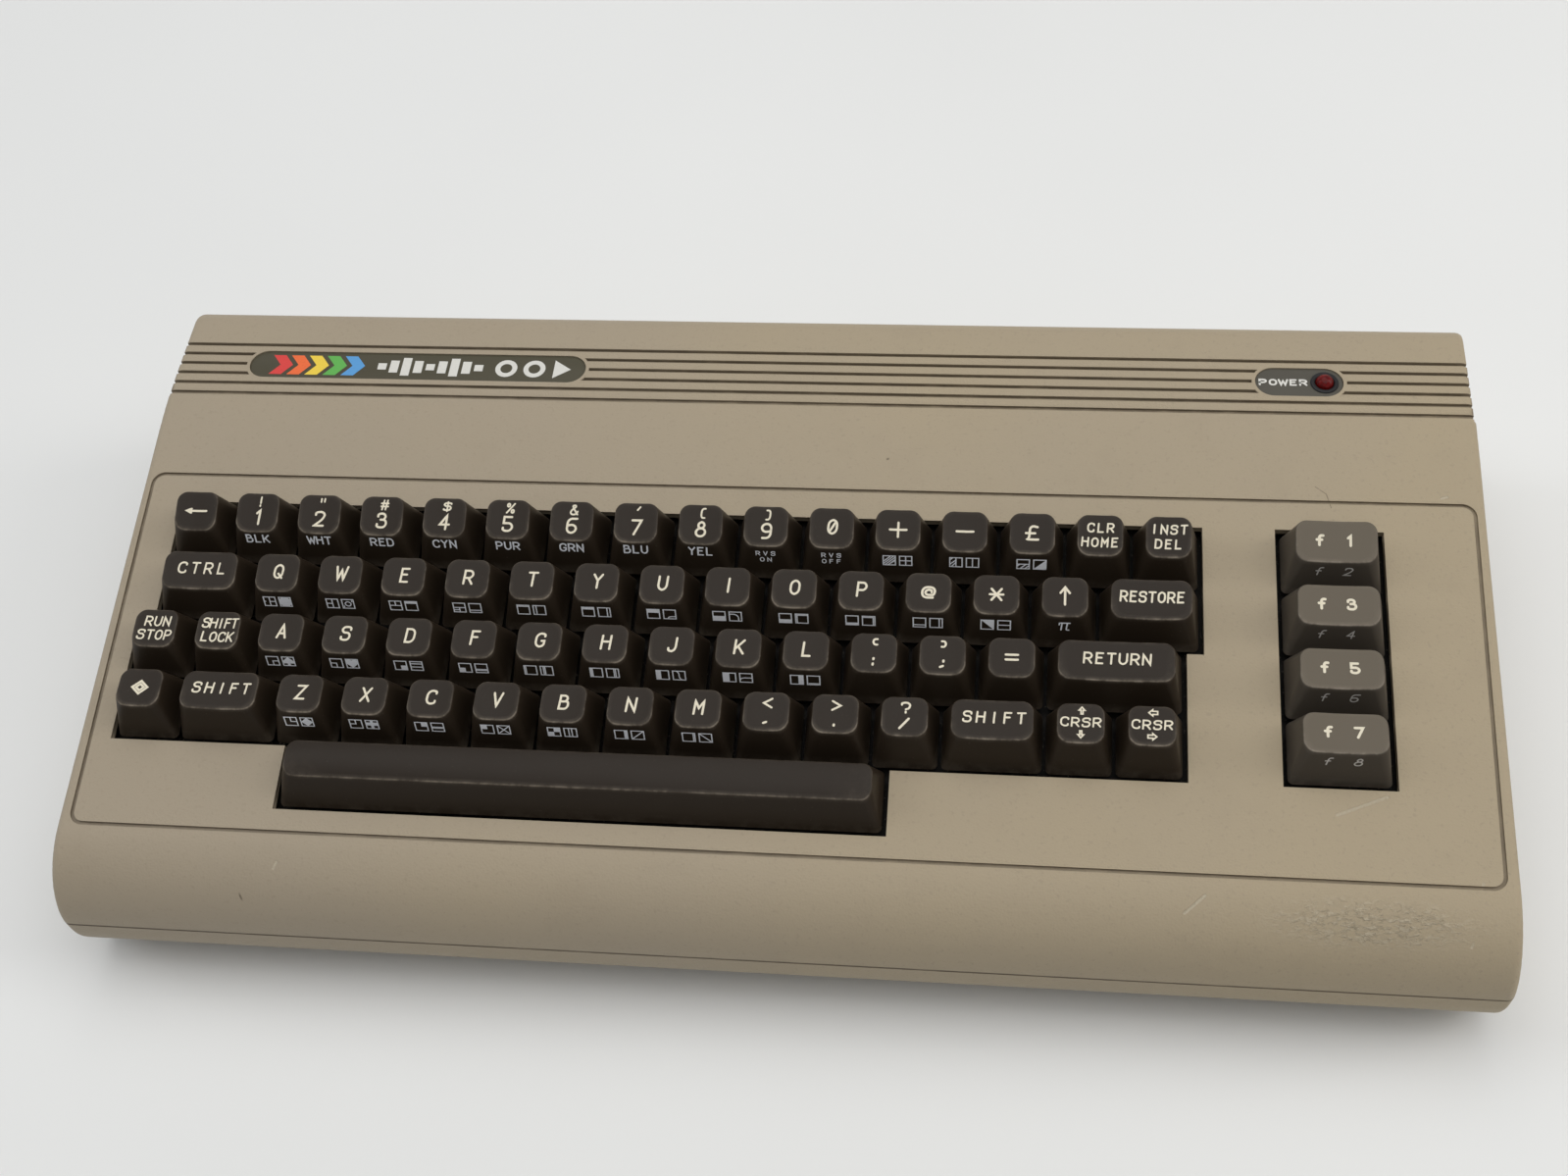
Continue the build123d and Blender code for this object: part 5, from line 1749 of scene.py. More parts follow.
    def build(self) -> CapShape:
        """Builds the cap around the panel's origin, in millimetres.

        Returns:
            The shape itself.
        """
        base = self.outline(*self.base, self.base_radius, 0.0)
        top = self.outline(*self.top, self.top_radius, self.shift)
        lower = np.column_stack((base, np.full(len(base), -self.skirt)))
        level = self.height + self.slope * (top[:, 1] - self.shift)
        surface = np.array([self.surface_height(x, y) for x, y in top])
        share = 1 - (level - surface) / (level + self.skirt)
        edge = lower + (np.column_stack((top, level)) - lower) * share[:, None]
        up = edge - lower
        up /= np.linalg.norm(up, axis=1)[:, None]
        inward = np.column_stack((self._inward(top), np.zeros(len(top))))
        inner = edge + inward * self.rim
        inner[:, 2] = [self.surface_height(x, y) for x, y in inner[:, :2]]
        outer = edge - up * self.rim
        rings = [self.ring(lower + inward * self.foot_chamfer)]
        rings.append(self.ring(lower + up * self.foot_chamfer, self.foot_wear_and_highlight))
        rings += [self.ring(lower + (outer - lower) * t) for t in self.wall_levels]
        for t, wear_and_highlight in self.rim_wear_and_highlight:
            bent = (1 - t) ** 2 * outer + 2 * t * (1 - t) * edge + t**2 * inner
            rings.append(self.ring(bent, wear_and_highlight, min(1.0, max(0.0, 2 * t - 0.6))))
        centre = np.array((0.0, self.shift))
        for t in self.top_rings:
            flat = centre + (inner[:, :2] - centre) * t
            heights = [self.surface_height(x, y) for x, y in flat]
            rings.append(self.ring(np.column_stack((flat, heights)), 0.0, 1.0))
        for low, high in zip(rings, rings[1:]):
            self.bridge(low, high)
        self.close(rings[-1], (0.0, self.shift, self.surface_height(0.0, self.shift)), 1.0)
        self._hollow(rings[0])
        for x in self.plungers:
            self._plunger(x)
        return self

    @staticmethod
    def _inward(outline: np.ndarray) -> np.ndarray:
        """Works out unit vectors into an outline.

        Args:
            outline: Its points, anticlockwise.

        Returns:
            The vector at each point.
        """
        along = np.roll(outline, -1, axis=0) - np.roll(outline, 1, axis=0)
        along /= np.linalg.norm(along, axis=1)[:, None]
        return np.column_stack((-along[:, 1], along[:, 0]))

    def _hollow(self, foot: list[int]) -> None:
        """Closes the cap with its inner walls and ceiling.

        Args:
            foot: The outer walls' lowest ring.
        """
        width, depth = (side - 2 * self.shell for side in self.base)
        low = self.outline(width, depth, self.base_radius, 0.0)
        width, depth = (side - 2 * self.shell for side in self.top)
        high = self.outline(width, depth, self.top_radius - self.shell, self.shift)
        ceiling = self.height - self.top_shell + self.slope * (high[:, 1] - self.shift)
        inner_low = self.ring(np.column_stack((low, np.full(len(low), -self.skirt))))
        inner_high = self.ring(np.column_stack((high, ceiling)))
        self.bridge(inner_low, foot)
        self.bridge(inner_high, inner_low)
        self.close(inner_high, (0.0, self.shift, self.height - self.top_shell), 0.0, flip=True)

    def _plunger(self, x: float) -> None:
        """Adds a plunger with a chamfered, hollow foot, from inside the top down to its guide.

        Args:
            x: Its middle along X.
        """
        y = self.plunger_offset
        top = self.height - self.top_shell + self.slope * (y - self.shift) + 0.3
        foot, radius = -self.plunger_reach, self.plunger_radius
        stem, hollow = radius * 0.98, foot + 2.0
        outside = [(top, stem), (foot + 0.5, stem), (foot, radius - 0.5)]
        profile = [*outside, (foot, radius - 1.2), (hollow, radius - 1.3)]
        turns = np.arange(self.plunger_points) * math.tau / self.plunger_points
        rings = []
        for z, size in profile:
            circle = (x + size * np.cos(turns), y + size * np.sin(turns), np.full(self.plunger_points, z))
            rings.append(self.ring(np.column_stack(circle)))
        for high, low in zip(rings, rings[1:]):
            self.bridge(low, high)
        self.close(rings[0], (x, y, top), 0.0)
        self.close(rings[-1], (x, y, hollow), 0.0, flip=True)


@cache
def cap_shape(units: float, row: int) -> CapShape:
    """The cap that all keys of one width in one row share."""
    return CapShape(units, row).build()


class LegendSpot(Enum):
    """The faces of a key that carry print."""

    TOP = "top"
    FRONT = "front"


KEY_WORDS = {
    "CLR_HOME": (
        ("CLR", Line((0.1, 2.1), 2.95, 2.75, 0.5, breadth=1.0)),
        ("HOME", Line((-0.1, -2.2), 2.95, 2.75, 0.5, breadth=1.0)),
    ),
    "INST_DEL": (
        ("INST", Line((0.1, 2.1), 2.95, 2.75, 0.5, breadth=1.0)),
        ("DEL", Line((-0.1, -2.2), 2.95, 2.75, 0.5, breadth=1.0)),
    ),
    "RUN_STOP": (
        ("RUN", Line((0.4, 2.1), 3.3, 2.75, 0.5, breadth=0.98)),
        ("STOP", Line((0.2, -2.2), 3.3, 2.7, 0.5, breadth=0.98)),
    ),
    "SHIFT_LOCK": (
        ("SHIFT", Line((0.4, 2.1), 3.3, 2.15, 0.5, breadth=0.92)),
        ("LOCK", Line((0.2, -2.2), 3.3, 2.55, 0.5, breadth=0.92)),
    ),
    "CTRL": (("CTRL", Line((0.5, 0.6), 3.8, 4.0, 0.55, breadth=1.0)),),
    "SHIFT": (("SHIFT", Line((0.5, 0.6), 3.6, 3.65, 0.55, breadth=1.0)),),
    "RESTORE": (("RESTORE", Line((0.2, 0.6), 3.5, 2.6, 0.55, breadth=0.88)),),
    "RETURN": (("RETURN", Line((0.2, 0.6), 3.6, 3.2, 0.55, breadth=1.0)),),
    "SPACE": (),
}
CURSOR_LINES = (
    Line((0.0, 0.2), 3.0, 2.9, 0.48),
    Line((0.3, 3.7), 2.5, 3.0, 0.42, 0.0),
    Line((0.0, -3.4), 2.5, 3.0, 0.42, 0.0),
)
FUNCTION_LINES = (Line((-4.5, 0.2), 3.5, 3.0, 0.78, 0.0), Line((3.5, 0.2), 3.5, 3.0, 0.72, 0.0))
DIGIT_LINES = (Line((0.5, 3.3), 3.3, 4.0, 0.52), Line((0.1, -1.5), 4.9, 4.0, 0.66, breadth=0.95))
SIGN_LINES = (Line((0.2, 2.6), 3.6, 4.0, 0.58, 0.0), Line((-0.1, -2.2), 3.6, 4.0, 0.66))
LETTER_LINE = Line((0.2, 0.3), 4.7, 4.0, 0.64, breadth=0.9)
SLANTED_SIGNS = {"@": 4.2, "£": 4.8}
UPRIGHT_SIGNS = {"+": 5.4, "-": 5.4, "*": 4.4, "=": 4.0, "↑": 5.8, "←": 6.0, "◇": 5.2}
FRONT_FUNCTION_LINES = (Line((-4.4, -3.4), 3.0, 3.0, 0.38, 0.2), Line((3.6, -3.4), 3.0, 3.0, 0.38, 0.2))
FRONT_COLOURS = dict(zip("12345678", ("BLK", "WHT", "RED", "CYN", "PUR", "GRN", "BLU", "YEL")))
FRONT_COLOUR_LINE = Line((0.1, -2.6), 3.2, 2.55, 0.5, 0.04, 0.95)
FRONT_SWITCHES = {"9": "ON", "0": "OFF"}
FRONT_SWITCH_LINES = (Line((0.0, -2.7), 1.7, 2.2, 0.28, 0.0), Line((0.0, -5.0), 1.7, 2.1, 0.28, 0.0))
FRONT_PI_LINE = Line((0.0, -3.6), 3.3, 3.0, 0.42, 0.1)


@dataclass
class KeyPrint:
    """The print of one key, on its top and its front."""

    key: Key
    lift: float = 0.03
    picture_side: float = 2.35
    picture_level: float = -4.0
    picture_size: Point = (3.5, 3.4)
    picture_stroke: float = 0.36

    def draw(self, spot: LegendSpot) -> Pen:
        """Draws what is printed on one face of the key.

        Args:
            spot: The face. Its print is measured from the top's middle or the front's upper edge.

        Returns:
            The drawing.
        """
        pen = Pen()
        for text, line in self._top() if spot is LegendSpot.TOP else self._front():
            pen.text(text, line)
        if spot is LegendSpot.FRONT:
            for side, drawing in zip((-1, 1), PICTURES.get(self.key.label, ())):
                middle = (side * self.picture_side, self.picture_level)
                pen.picture(drawing, middle, self.picture_size, self.picture_stroke)
        return pen

    def _top(self) -> Iterable[tuple[str, Line]]:
        """Finds what is written on the keytop.

        Returns:
            Each text with its line.
        """
        label = self.key.label
        if label in KEY_WORDS:
            return KEY_WORDS[label]
        if "CRSR" in label:
            return zip(("CRSR", label[0], label[-1]), CURSOR_LINES)
        if label.startswith("f"):
            return zip(label, FUNCTION_LINES)
        if len(label) == 2:
            return zip(label, DIGIT_LINES if label[1].isdigit() else SIGN_LINES)
        if label in SLANTED_SIGNS:
            return [(label, Line((0.0, 0.2), SLANTED_SIGNS[label], 4.0, 0.66))]
        if label in UPRIGHT_SIGNS:
            return [(label, Line((0.0, 0.2), UPRIGHT_SIGNS[label], 4.0, 0.66, 0.0))]
        return [(label, LETTER_LINE)]

    def _front(self) -> Iterable[tuple[str, Line]]:
        """Finds what is written on the key's front.

        Returns:
            Each text with its line.
        """
        label = self.key.label
        last = label[-1]
        if label.startswith("f"):
            return zip(("f", str(int(label[1]) + 1)), FRONT_FUNCTION_LINES)
        if self.key.node == "digit_keys" and last in FRONT_COLOURS:
            return [(FRONT_COLOURS[last], FRONT_COLOUR_LINE)]
        if self.key.node == "digit_keys":
            return zip(("RVS", FRONT_SWITCHES[last]), FRONT_SWITCH_LINES)
        return [("π", FRONT_PI_LINE)] if label == "↑" else []

    def placed(self, pen: Pen, spot: LegendSpot) -> list[Place]:
        """Puts a drawing on the key.

        Args:
            pen: The drawing.
            spot: The face that it is for.

        Returns:
            Its points in millimetres around the key's middle.
        """
        shape = cap_shape(self.key.units, self.key.row)
        points = []
        if spot is LegendSpot.TOP:
            for u, v, lift in pen.points:
                y = shape.shift + v * math.cos(math.atan(shape.slope))
                points.append((u, y, shape.surface_height(u, y) + self.lift + lift))
            return points
        low = np.array((-shape.base[1] / 2, -shape.skirt))
        front_y = shape.shift - shape.top[1] / 2
        high = np.array((front_y, shape.height + shape.slope * (front_y - shape.shift)))
        up = (high - low) / np.linalg.norm(high - low)
        out = np.array((-up[1], up[0]))
        edge = high - up * shape.dish
        for u, v, lift in pen.points:
            y, z = edge + up * v + out * (self.lift + lift)
            points.append((u, float(y), float(z)))
        return points


@dataclass
class Keyboard:
    """All the keys, with their print."""

    panel: Panel = Panel()
    layout: KeyLayout = field(default_factory=KeyLayout)
    sharp: float = 50.0

    def build(self) -> list[Piece]:
        """Builds the keys of each node as one piece, and their print as another.

        Returns:
            All the pieces.
        """
        groups: dict[str, list[Key]] = {}
        for key in self.layout.keys():
            groups.setdefault(key.node, []).append(key)
        pieces = []
        for node, keys in groups.items():
            pieces.append(self._caps(node, keys))
            pieces += self._prints(node, keys)
        return pieces

    def _on_panel(self, key: Key, points: Iterable[Place]) -> list[Place]:
        """Moves points around a key's middle to where the key is, in metres."""
        return [self.panel.point(key.x + x, key.y + y, z) for x, y, z in points]

    def _caps(self, node: str, keys: list[Key]) -> Piece:
        """Builds the caps of one node.

        Args:
            node: The node.
            keys: Its keys.

        Returns:
            The caps as one piece.
        """
        whole = Shape()
        # The rim share holds the pale rim's painted highlight and rubbed edges; keytop marks the top faces.
        shares: dict[str, list[float]] = {"rim": [], "keytop": []}
        for key in keys:
            shape = cap_shape(key.units, key.row)
            whole.add(self._on_panel(key, shape.points), shape.faces)
            shares["rim"] += shape.rim_wear_and_highlight_share
            shares["keytop"] += shape.top_share
        is_function = node == "function_keys"
        finish = Palette.FUNCTION_KEY if is_function else Palette.KEY
        caps = mesh_object(node + "_caps", whole.points, whole.faces, [finish.material()])
        for name, values in shares.items():
            caps.data.attributes.new(name, "FLOAT", "POINT").data.foreach_set("value", values)
        caps.data.set_sharp_from_angle(angle=math.radians(self.sharp))
        return fixed(caps, node, "function_plastic" if is_function else "key_plastic", node)

    def _prints(self, node: str, keys: list[Key]) -> list[Piece]:
        """Builds the print of one node's keys.

        Args:
            node: The node.
            keys: Its keys.

        Returns:
            A piece for the tops and one for the fronts, where they have print.
        """
        side = Palette.DIM_LEGEND if node == "function_keys" else Palette.SIDE_LEGEND
        made = []
        for spot, finish in ((LegendSpot.TOP, Palette.LEGEND), (LegendSpot.FRONT, side)):
            whole = Shape()
            for key in keys:
                printed = KeyPrint(key)
                pen = printed.draw(spot)
                whole.add(self._on_panel(key, printed.placed(pen, spot)), pen.faces)
            if whole.faces:
                name = f"{node}_{spot.value}_print"
                made.append(fixed(mesh_object(name, whole.points, whole.faces, [finish.material()]), node))
        return made


# --- Badges and lamp ---

BADGE_Y = 72.5
LAMP_X = 157.3
BOARD_TOP = 15.6


def lathe(profile: Sequence[Point], centre: Point, steps: int = 40) -> Shape:
    """Turns a profile round an upright axis.

    Args:
        profile: Radius and height of each ring, from the first end to the last. A radius of 0 is a pole.
        centre: X and Y of the axis.
        steps: Points round the axis.

    Returns:
        The shape, in the profile's unit.
    """
    made = Shape()
    rings: list[list[int]] = []
    for radius, height in profile:
        count = steps if radius else 1
        rings.append(list(range(len(made.points), len(made.points) + count)))
        for k in range(count):
            angle = math.tau * k / steps
            x, y = centre[0] + radius * math.cos(angle), centre[1] + radius * math.sin(angle)
            made.points.append((x, y, height))
    for low, high in zip(rings, rings[1:]):
        for k in range(steps):
            j = (k + 1) % steps
            if len(low) == 1:
                made.faces.append((low[0], high[j], high[k]))
            elif len(high) == 1:
                made.faces.append((low[k], low[j], high[0]))
            else:
                made.faces.append((low[k], low[j], high[j], high[k]))
    return made


def stacked(rings: Sequence[Sequence[Place]]) -> Shape:
    """Joins rings with equally many points into walls, from the lowest up.

    Args:
        rings: The rings.

    Returns:
        The shape, open at both ends.
    """
    count = len(rings[0])
    made = Shape([point for ring in rings for point in ring])
    for first in range(0, (len(rings) - 1) * count, count):
        for k in range(count):
            j = (k + 1) % count
            made.faces.append((first + k, first + j, first + count + j, first + count + k))
    return made


@dataclass(frozen=True)
class Plate:
    """One badge plate: its node, its middle along X, its length, its looks and its hole, if any."""

    node: str
    centre: float
    length: float
    finish: Palette
    slot: str
    hole_x: float | None = None


@dataclass
class Badges:
    """The two plates with round ends, with a print of plain shapes, in millimetres."""

    name_plate: Plate = Plate("name_badge", -121.5, 108.6, Palette.BADGE, "badge_face")
    power_plate: Plate = Plate("power_badge", 149.9, 25.7, Palette.POWER_PLATE, "power_face", LAMP_X)
    centre_y: float = BADGE_Y
    floor: float = 74.0
    thickness: float = 0.7
    height: float = 10.9
    lamp_hole: float = 4.15
    edge: float = 0.18
    round_steps: int = 24
    sharp: float = 50.0
    print_lift: float = 0.02
    chevron: tuple[Point, ...] = ((0.0, -4.0), (4.1, -4.0), (7.2, 0.0), (4.1, 4.0), (0.0, 4.0), (3.1, 0.0))
    chevron_start: float = -47.5
    chevron_step: float = 5.9
    colours: tuple[Colour, ...] = (
        (0.62, 0.035, 0.03),
        (0.78, 0.13, 0.025),
        (0.80, 0.58, 0.05),
        (0.09, 0.38, 0.06),
        (0.08, 0.30, 0.62),
    )
    bar_heights: tuple[float, ...] = (2.6, 5.0, 7.4, 5.0, 2.6, 5.0, 7.4, 5.0, 2.6)
    bar_start: float = -12.5
    bar_step: float = 3.9
    bar_width: float = 2.8
    ring_places: Point = (29.0, 38.0)
    ring_radius: float = 2.7
    ring_stroke: float = 1.6
    triangle: tuple[Point, ...] = ((44.2, -3.7), (49.6, 0.0), (44.2, 3.7))
    power_line: Line = Line((-4.7, 0.0), 2.6, 2.95, 0.6, 0.0, 1.4)

    def build(self) -> list[Piece]:
        """Builds both plates and their print.

        Returns:
            The four pieces.
        """
        layers = []
        for index, colour in enumerate(self.colours):
            pen = Pen()
            x = self.chevron_start + index * self.chevron_step
            pen.polygon([(x + u, v) for u, v in self.chevron])
            layers.append((pen, LegendInk(f"badge_colour_{index + 1}", colour).material()))
        layers.append((self._white_motif(), Palette.BADGE_WHITE.material()))
        words = Pen()
        words.text("POWER", self.power_line)
        return [
            self._plate(self.name_plate),
            self._plate(self.power_plate),
            self._print(self.name_plate, layers),
            self._print(self.power_plate, [(words, Palette.BADGE_WHITE.material())]),
        ]

    def _white_motif(self) -> Pen:
        """Draws bars, rings and a triangle.

        Returns:
            The drawing.
        """
        pen = Pen()
        for index, height in enumerate(self.bar_heights):
            left, high = self.bar_start + index * self.bar_step, height / 2
            right = left + self.bar_width
            pen.polygon([(left, -high), (right, -high), (right, high), (left, high)])
        turns = [math.tau * k / self.round_steps for k in range(self.round_steps)]
        for x in self.ring_places:
            ring = [(x + self.ring_radius * math.cos(t), self.ring_radius * math.sin(t)) for t in turns]
            pen.strip(ring, self.ring_stroke, closed=True)
        pen.polygon(self.triangle)
        return pen

    def _print(self, plate: Plate, layers: Sequence[tuple[Pen, Material]]) -> Piece:
        """Joins drawings on a plate into one piece with a material for each.

        Args:
            plate: The plate.
            layers: Each drawing with its material.

        Returns:
            The piece, riding on the case.
        """
        whole = Shape()
        slots: list[int] = []
        level = self.floor + self.thickness + self.print_lift
        for slot, (pen, _) in enumerate(layers):
            moved = [(plate.centre + u, self.centre_y + v, level + z) for u, v, z in pen.points]
            whole.add(moved, pen.faces)
            slots += [slot] * len(pen.faces)
        materials = [material for _, material in layers]
        made = mesh_object(plate.node + "_print", scaled(whole.points), whole.faces, materials, smooth=False)
        made.data.polygons.foreach_set("material_index", slots)
        return fixed(made)

    def _plate(self, plate: Plate) -> Piece:
        """Builds one plate with its upper edge taken off, and its hole if it has one.

        Args:
            plate: The plate.

        Returns:
            The piece.
        """
        top, edge = self.floor + self.thickness, self.edge
        levels = ((0.0, self.floor), (0.0, top - edge), (edge * 0.4, top - edge * 0.3), (edge, top))
        rings = [self._outline(plate, inset, z) for inset, z in levels]
        if plate.hole_x is not None:
            ways = [math.atan2(y - self.centre_y, x - plate.hole_x) for x, y, _ in rings[0]]
            across = [plate.hole_x + self.lamp_hole * math.cos(way) for way in ways]
            back = [self.centre_y + self.lamp_hole * math.sin(way) for way in ways]
            rings += [[(x, y, z) for x, y in zip(across, back)] for z in (top, self.floor)]
        made = stacked(rings)
        count = len(rings[0])
        last = len(made.points) - count
        if plate.hole_x is None:
            made.faces += [tuple(range(last, last + count)), tuple(reversed(range(count)))]
        else:
            made.faces += [(last + k, last + (k + 1) % count, (k + 1) % count, k) for k in range(count)]
        paint = [plate.finish.material()]
        piece = mesh_object(plate.node + "_plate", scaled(made.points), made.faces, paint)
        piece.data.set_sharp_from_angle(angle=math.radians(self.sharp))
        return fixed(piece, CASE_BODY, plate.slot, plate.node)

    def _outline(self, plate: Plate, inset: float, z: float) -> list[Place]:
        """Draws a plate's outline, a rectangle with half-round ends.

        Args:
            plate: The plate.
            inset: How far the outline is moved inwards.
            z: Its height.

        Returns:
            The points, anticlockwise.
        """
        radius = self.height / 2
        reach = plate.length / 2 - radius
        result = []
        for side, start in ((1, -0.25), (-1, 0.25)):
            for k in range(self.round_steps + 1):
                angle = math.tau * (start + 0.5 * k / self.round_steps)
                x = plate.centre + side * reach + (radius - inset) * math.cos(angle)
                result.append((x, self.centre_y + (radius - inset) * math.sin(angle), z))
        return result


@dataclass
class PowerLamp:
    """The red lamp in its dark bezel, with its leads and plug, in millimetres.

    The bezel is a profile that ends where it starts: radius and height of each ring.
    """

    x: float = LAMP_X
    y: float = BADGE_Y
    board: float = BOARD_TOP
    dome_top: float = 77.3
    dome_rings: int = 10
    radius: float = 2.7
    flange: float = 3.1
    flange_thickness: float = 1.0
    body: float = 8.6
    bezel: tuple[Point, ...] = (
        *((2.75, 74.0), (4.1, 74.0), (4.1, 74.95)),
        *((3.98, 75.13), (3.75, 75.2), (3.2, 75.14)),
        *((2.87, 75.0), (2.75, 74.75), (2.75, 74.0)),
    )
    lead_radius: float = 0.6
    lead_offset: float = 1.25
    lead_steps: int = 12
    lead_foot: float = 7.0
    plug: Place = (6.2, 4.0, 8.0)
    plug_chamfer: float = 0.5
    lens_sharp: float = 45.0
    bezel_sharp: float = 60.0
    leads_sharp: float = 40.0

    def build(self) -> list[Piece]:
        """Builds lens, bezel, leads and plug.

        Returns:
            The pieces, all in place of the lamp's node.
        """
        axis = (self.x, self.y)
        made = (
            turned_mesh("lamp_lens_dome", lathe(self._lens(), axis), Palette.LENS, self.lens_sharp),
            turned_mesh("lamp_bezel", lathe(self.bezel, axis), Palette.BEZEL, self.bezel_sharp),
            turned_mesh("lamp_leads", self._leads(), Palette.RIBBON, self.leads_sharp),
        )
        return [fixed(piece, CASE_BODY, "lamp_red", "power_lamp") for piece in made]

    def _lens(self) -> list[Point]:
        """Draws the lens's profile.

        Returns:
            Radius and height of each ring.
        """
        base = self.dome_top - self.body
        step = base + self.flange_thickness
        centre = self.dome_top - self.radius
        turns = np.linspace(0.0, math.pi / 2 - 0.05, self.dome_rings)
        dome = [(self.radius * math.cos(turn), centre + self.radius * math.sin(turn)) for turn in turns]
        foot = [(0.0, base), (self.flange, base), (self.flange, step), (self.radius, step)]
        return [*foot, *dome, (0.0, self.dome_top)]

    def _leads(self) -> Shape:
        """Draws two leads down to a plug with a chamfered top.

        Returns:
            The shape.
        """
        whole = Shape()
        low, high = self.board + self.lead_foot, self.dome_top - self.body + 0.2
        profile = [(0.0, low), (self.lead_radius, low), (self.lead_radius, high), (0.0, high)]
        for side in (-1, 1):
            lead = lathe(profile, (self.x + side * self.lead_offset, self.y), self.lead_steps)
            whole.add(lead.points, lead.faces)
        width, depth, height = self.plug
        top = self.board + height
        rings = []
        for inset, z in ((0.0, self.board), (0.0, top - self.plug_chamfer), (self.plug_chamfer, top)):
            w, d = width / 2 - inset, depth / 2 - inset
            rings.append([(self.x + u, self.y + v, z) for u, v in ((-w, -d), (w, -d), (w, d), (-w, d))])
        plug = stacked(rings)
        whole.add(plug.points, [*plug.faces, (3, 2, 1, 0), (8, 9, 10, 11)])
        return whole


# --- Inside ---


@dataclass
class KeyMechanism:
    """What is under the keys: springs, frame, contact board, cable and screws, in millimetres."""

    panel: Panel = Panel()
    layout: KeyLayout = field(default_factory=KeyLayout)
    coil_radius: float = 3.7
    coil_pitch: float = 0.95
    coil_steps: int = 14
    fewest_turns: float = 0.6
    wire_radius: float = 0.3
    wire_sides: int = 6
    sleeve_radius: float = 4.1
    foot: float = 0.3
    travel: float = 4.0
    clearance: float = 0.65
    space_top: float = 1.2

    def build(self) -> list[Piece]:
        """Builds the springs and dresses the rest.

        Returns:
            The pieces.
        """
        return [
            self._springs(),
            dressed("keyboard_frame", Palette.FRAME, "frame_plastic"),
            dressed("keyboard_board", Palette.BOARD, "board_laminate"),
            dressed("keyboard_cable", Palette.RIBBON, "ribbon_plastic"),
            dressed("keyboard_screws", Palette.STEEL, "screw_steel"),
        ]

    def _tree(self) -> GeometryTree:
        """Makes the group that puts a coil on every point, turned with the panel.

        Returns:
            The group.
        """
        tree = GeometryTree("key_spring")
        names = ("Height", "Coil radius", "Wire radius", "Turns")
        height, radius, wire, turns = (tree.size(name) for name in names)
        line = {"Rotations": turns, "Start Radius": radius, "End Radius": radius, "Height": height}
        coil = tree.node("GeometryNodeCurveSpiral", {"Resolution": self.coil_steps, **line})
        circle = {"Resolution": self.wire_sides, "Radius": wire}
        section = tree.node("GeometryNodeCurvePrimitiveCircle", circle)
        wound = {"Curve": coil, "Profile Curve": section, "Fill Caps": True}
        smooth = tree.node("GeometryNodeSetShadeSmooth", {0: tree.node("GeometryNodeCurveToMesh", wound)})
        tree.finish(smooth, Palette.WIRE, (self.panel.tilt, 0.0, 0.0))
        return tree

    def _springs(self) -> Piece:
        """Builds every spring, as short as under a pressed key.

        Returns:
            The springs as one piece.
        """
        tree = self._tree()
        rows: dict[float, list[Place]] = {}
        for key in self.layout.keys():
            shape = cap_shape(key.units, key.row)
            lean = math.radians(abs(shape.leans[key.row]))
            ceiling = shape.height - shape.top_shell / math.cos(lean) - math.tan(lean) * self.sleeve_radius
            top = self.space_top if shape.is_space else ceiling - self.travel - self.clearance
            y, z = key.y + shape.plunger_offset, self.foot + self.wire_radius
            height = round(top - self.foot - 2 * self.wire_radius, 4)
            rows.setdefault(height, []).extend(self.panel.point(key.x + x, y, z) for x in shape.plungers)
        made = []
        for index, (height, points) in enumerate(rows.items()):
            sizes = {
                "Height": height * MM,
                "Coil radius": self.coil_radius * MM,
                "Wire radius": self.wire_radius * MM,
                "Turns": max(self.fewest_turns, round(height / self.coil_pitch)),
            }
            made.append(tree.run(f"springs_{index}", points, sizes))
        return fixed(joined("key_coils", made), CASE_BODY, "spring_steel", "key_springs")


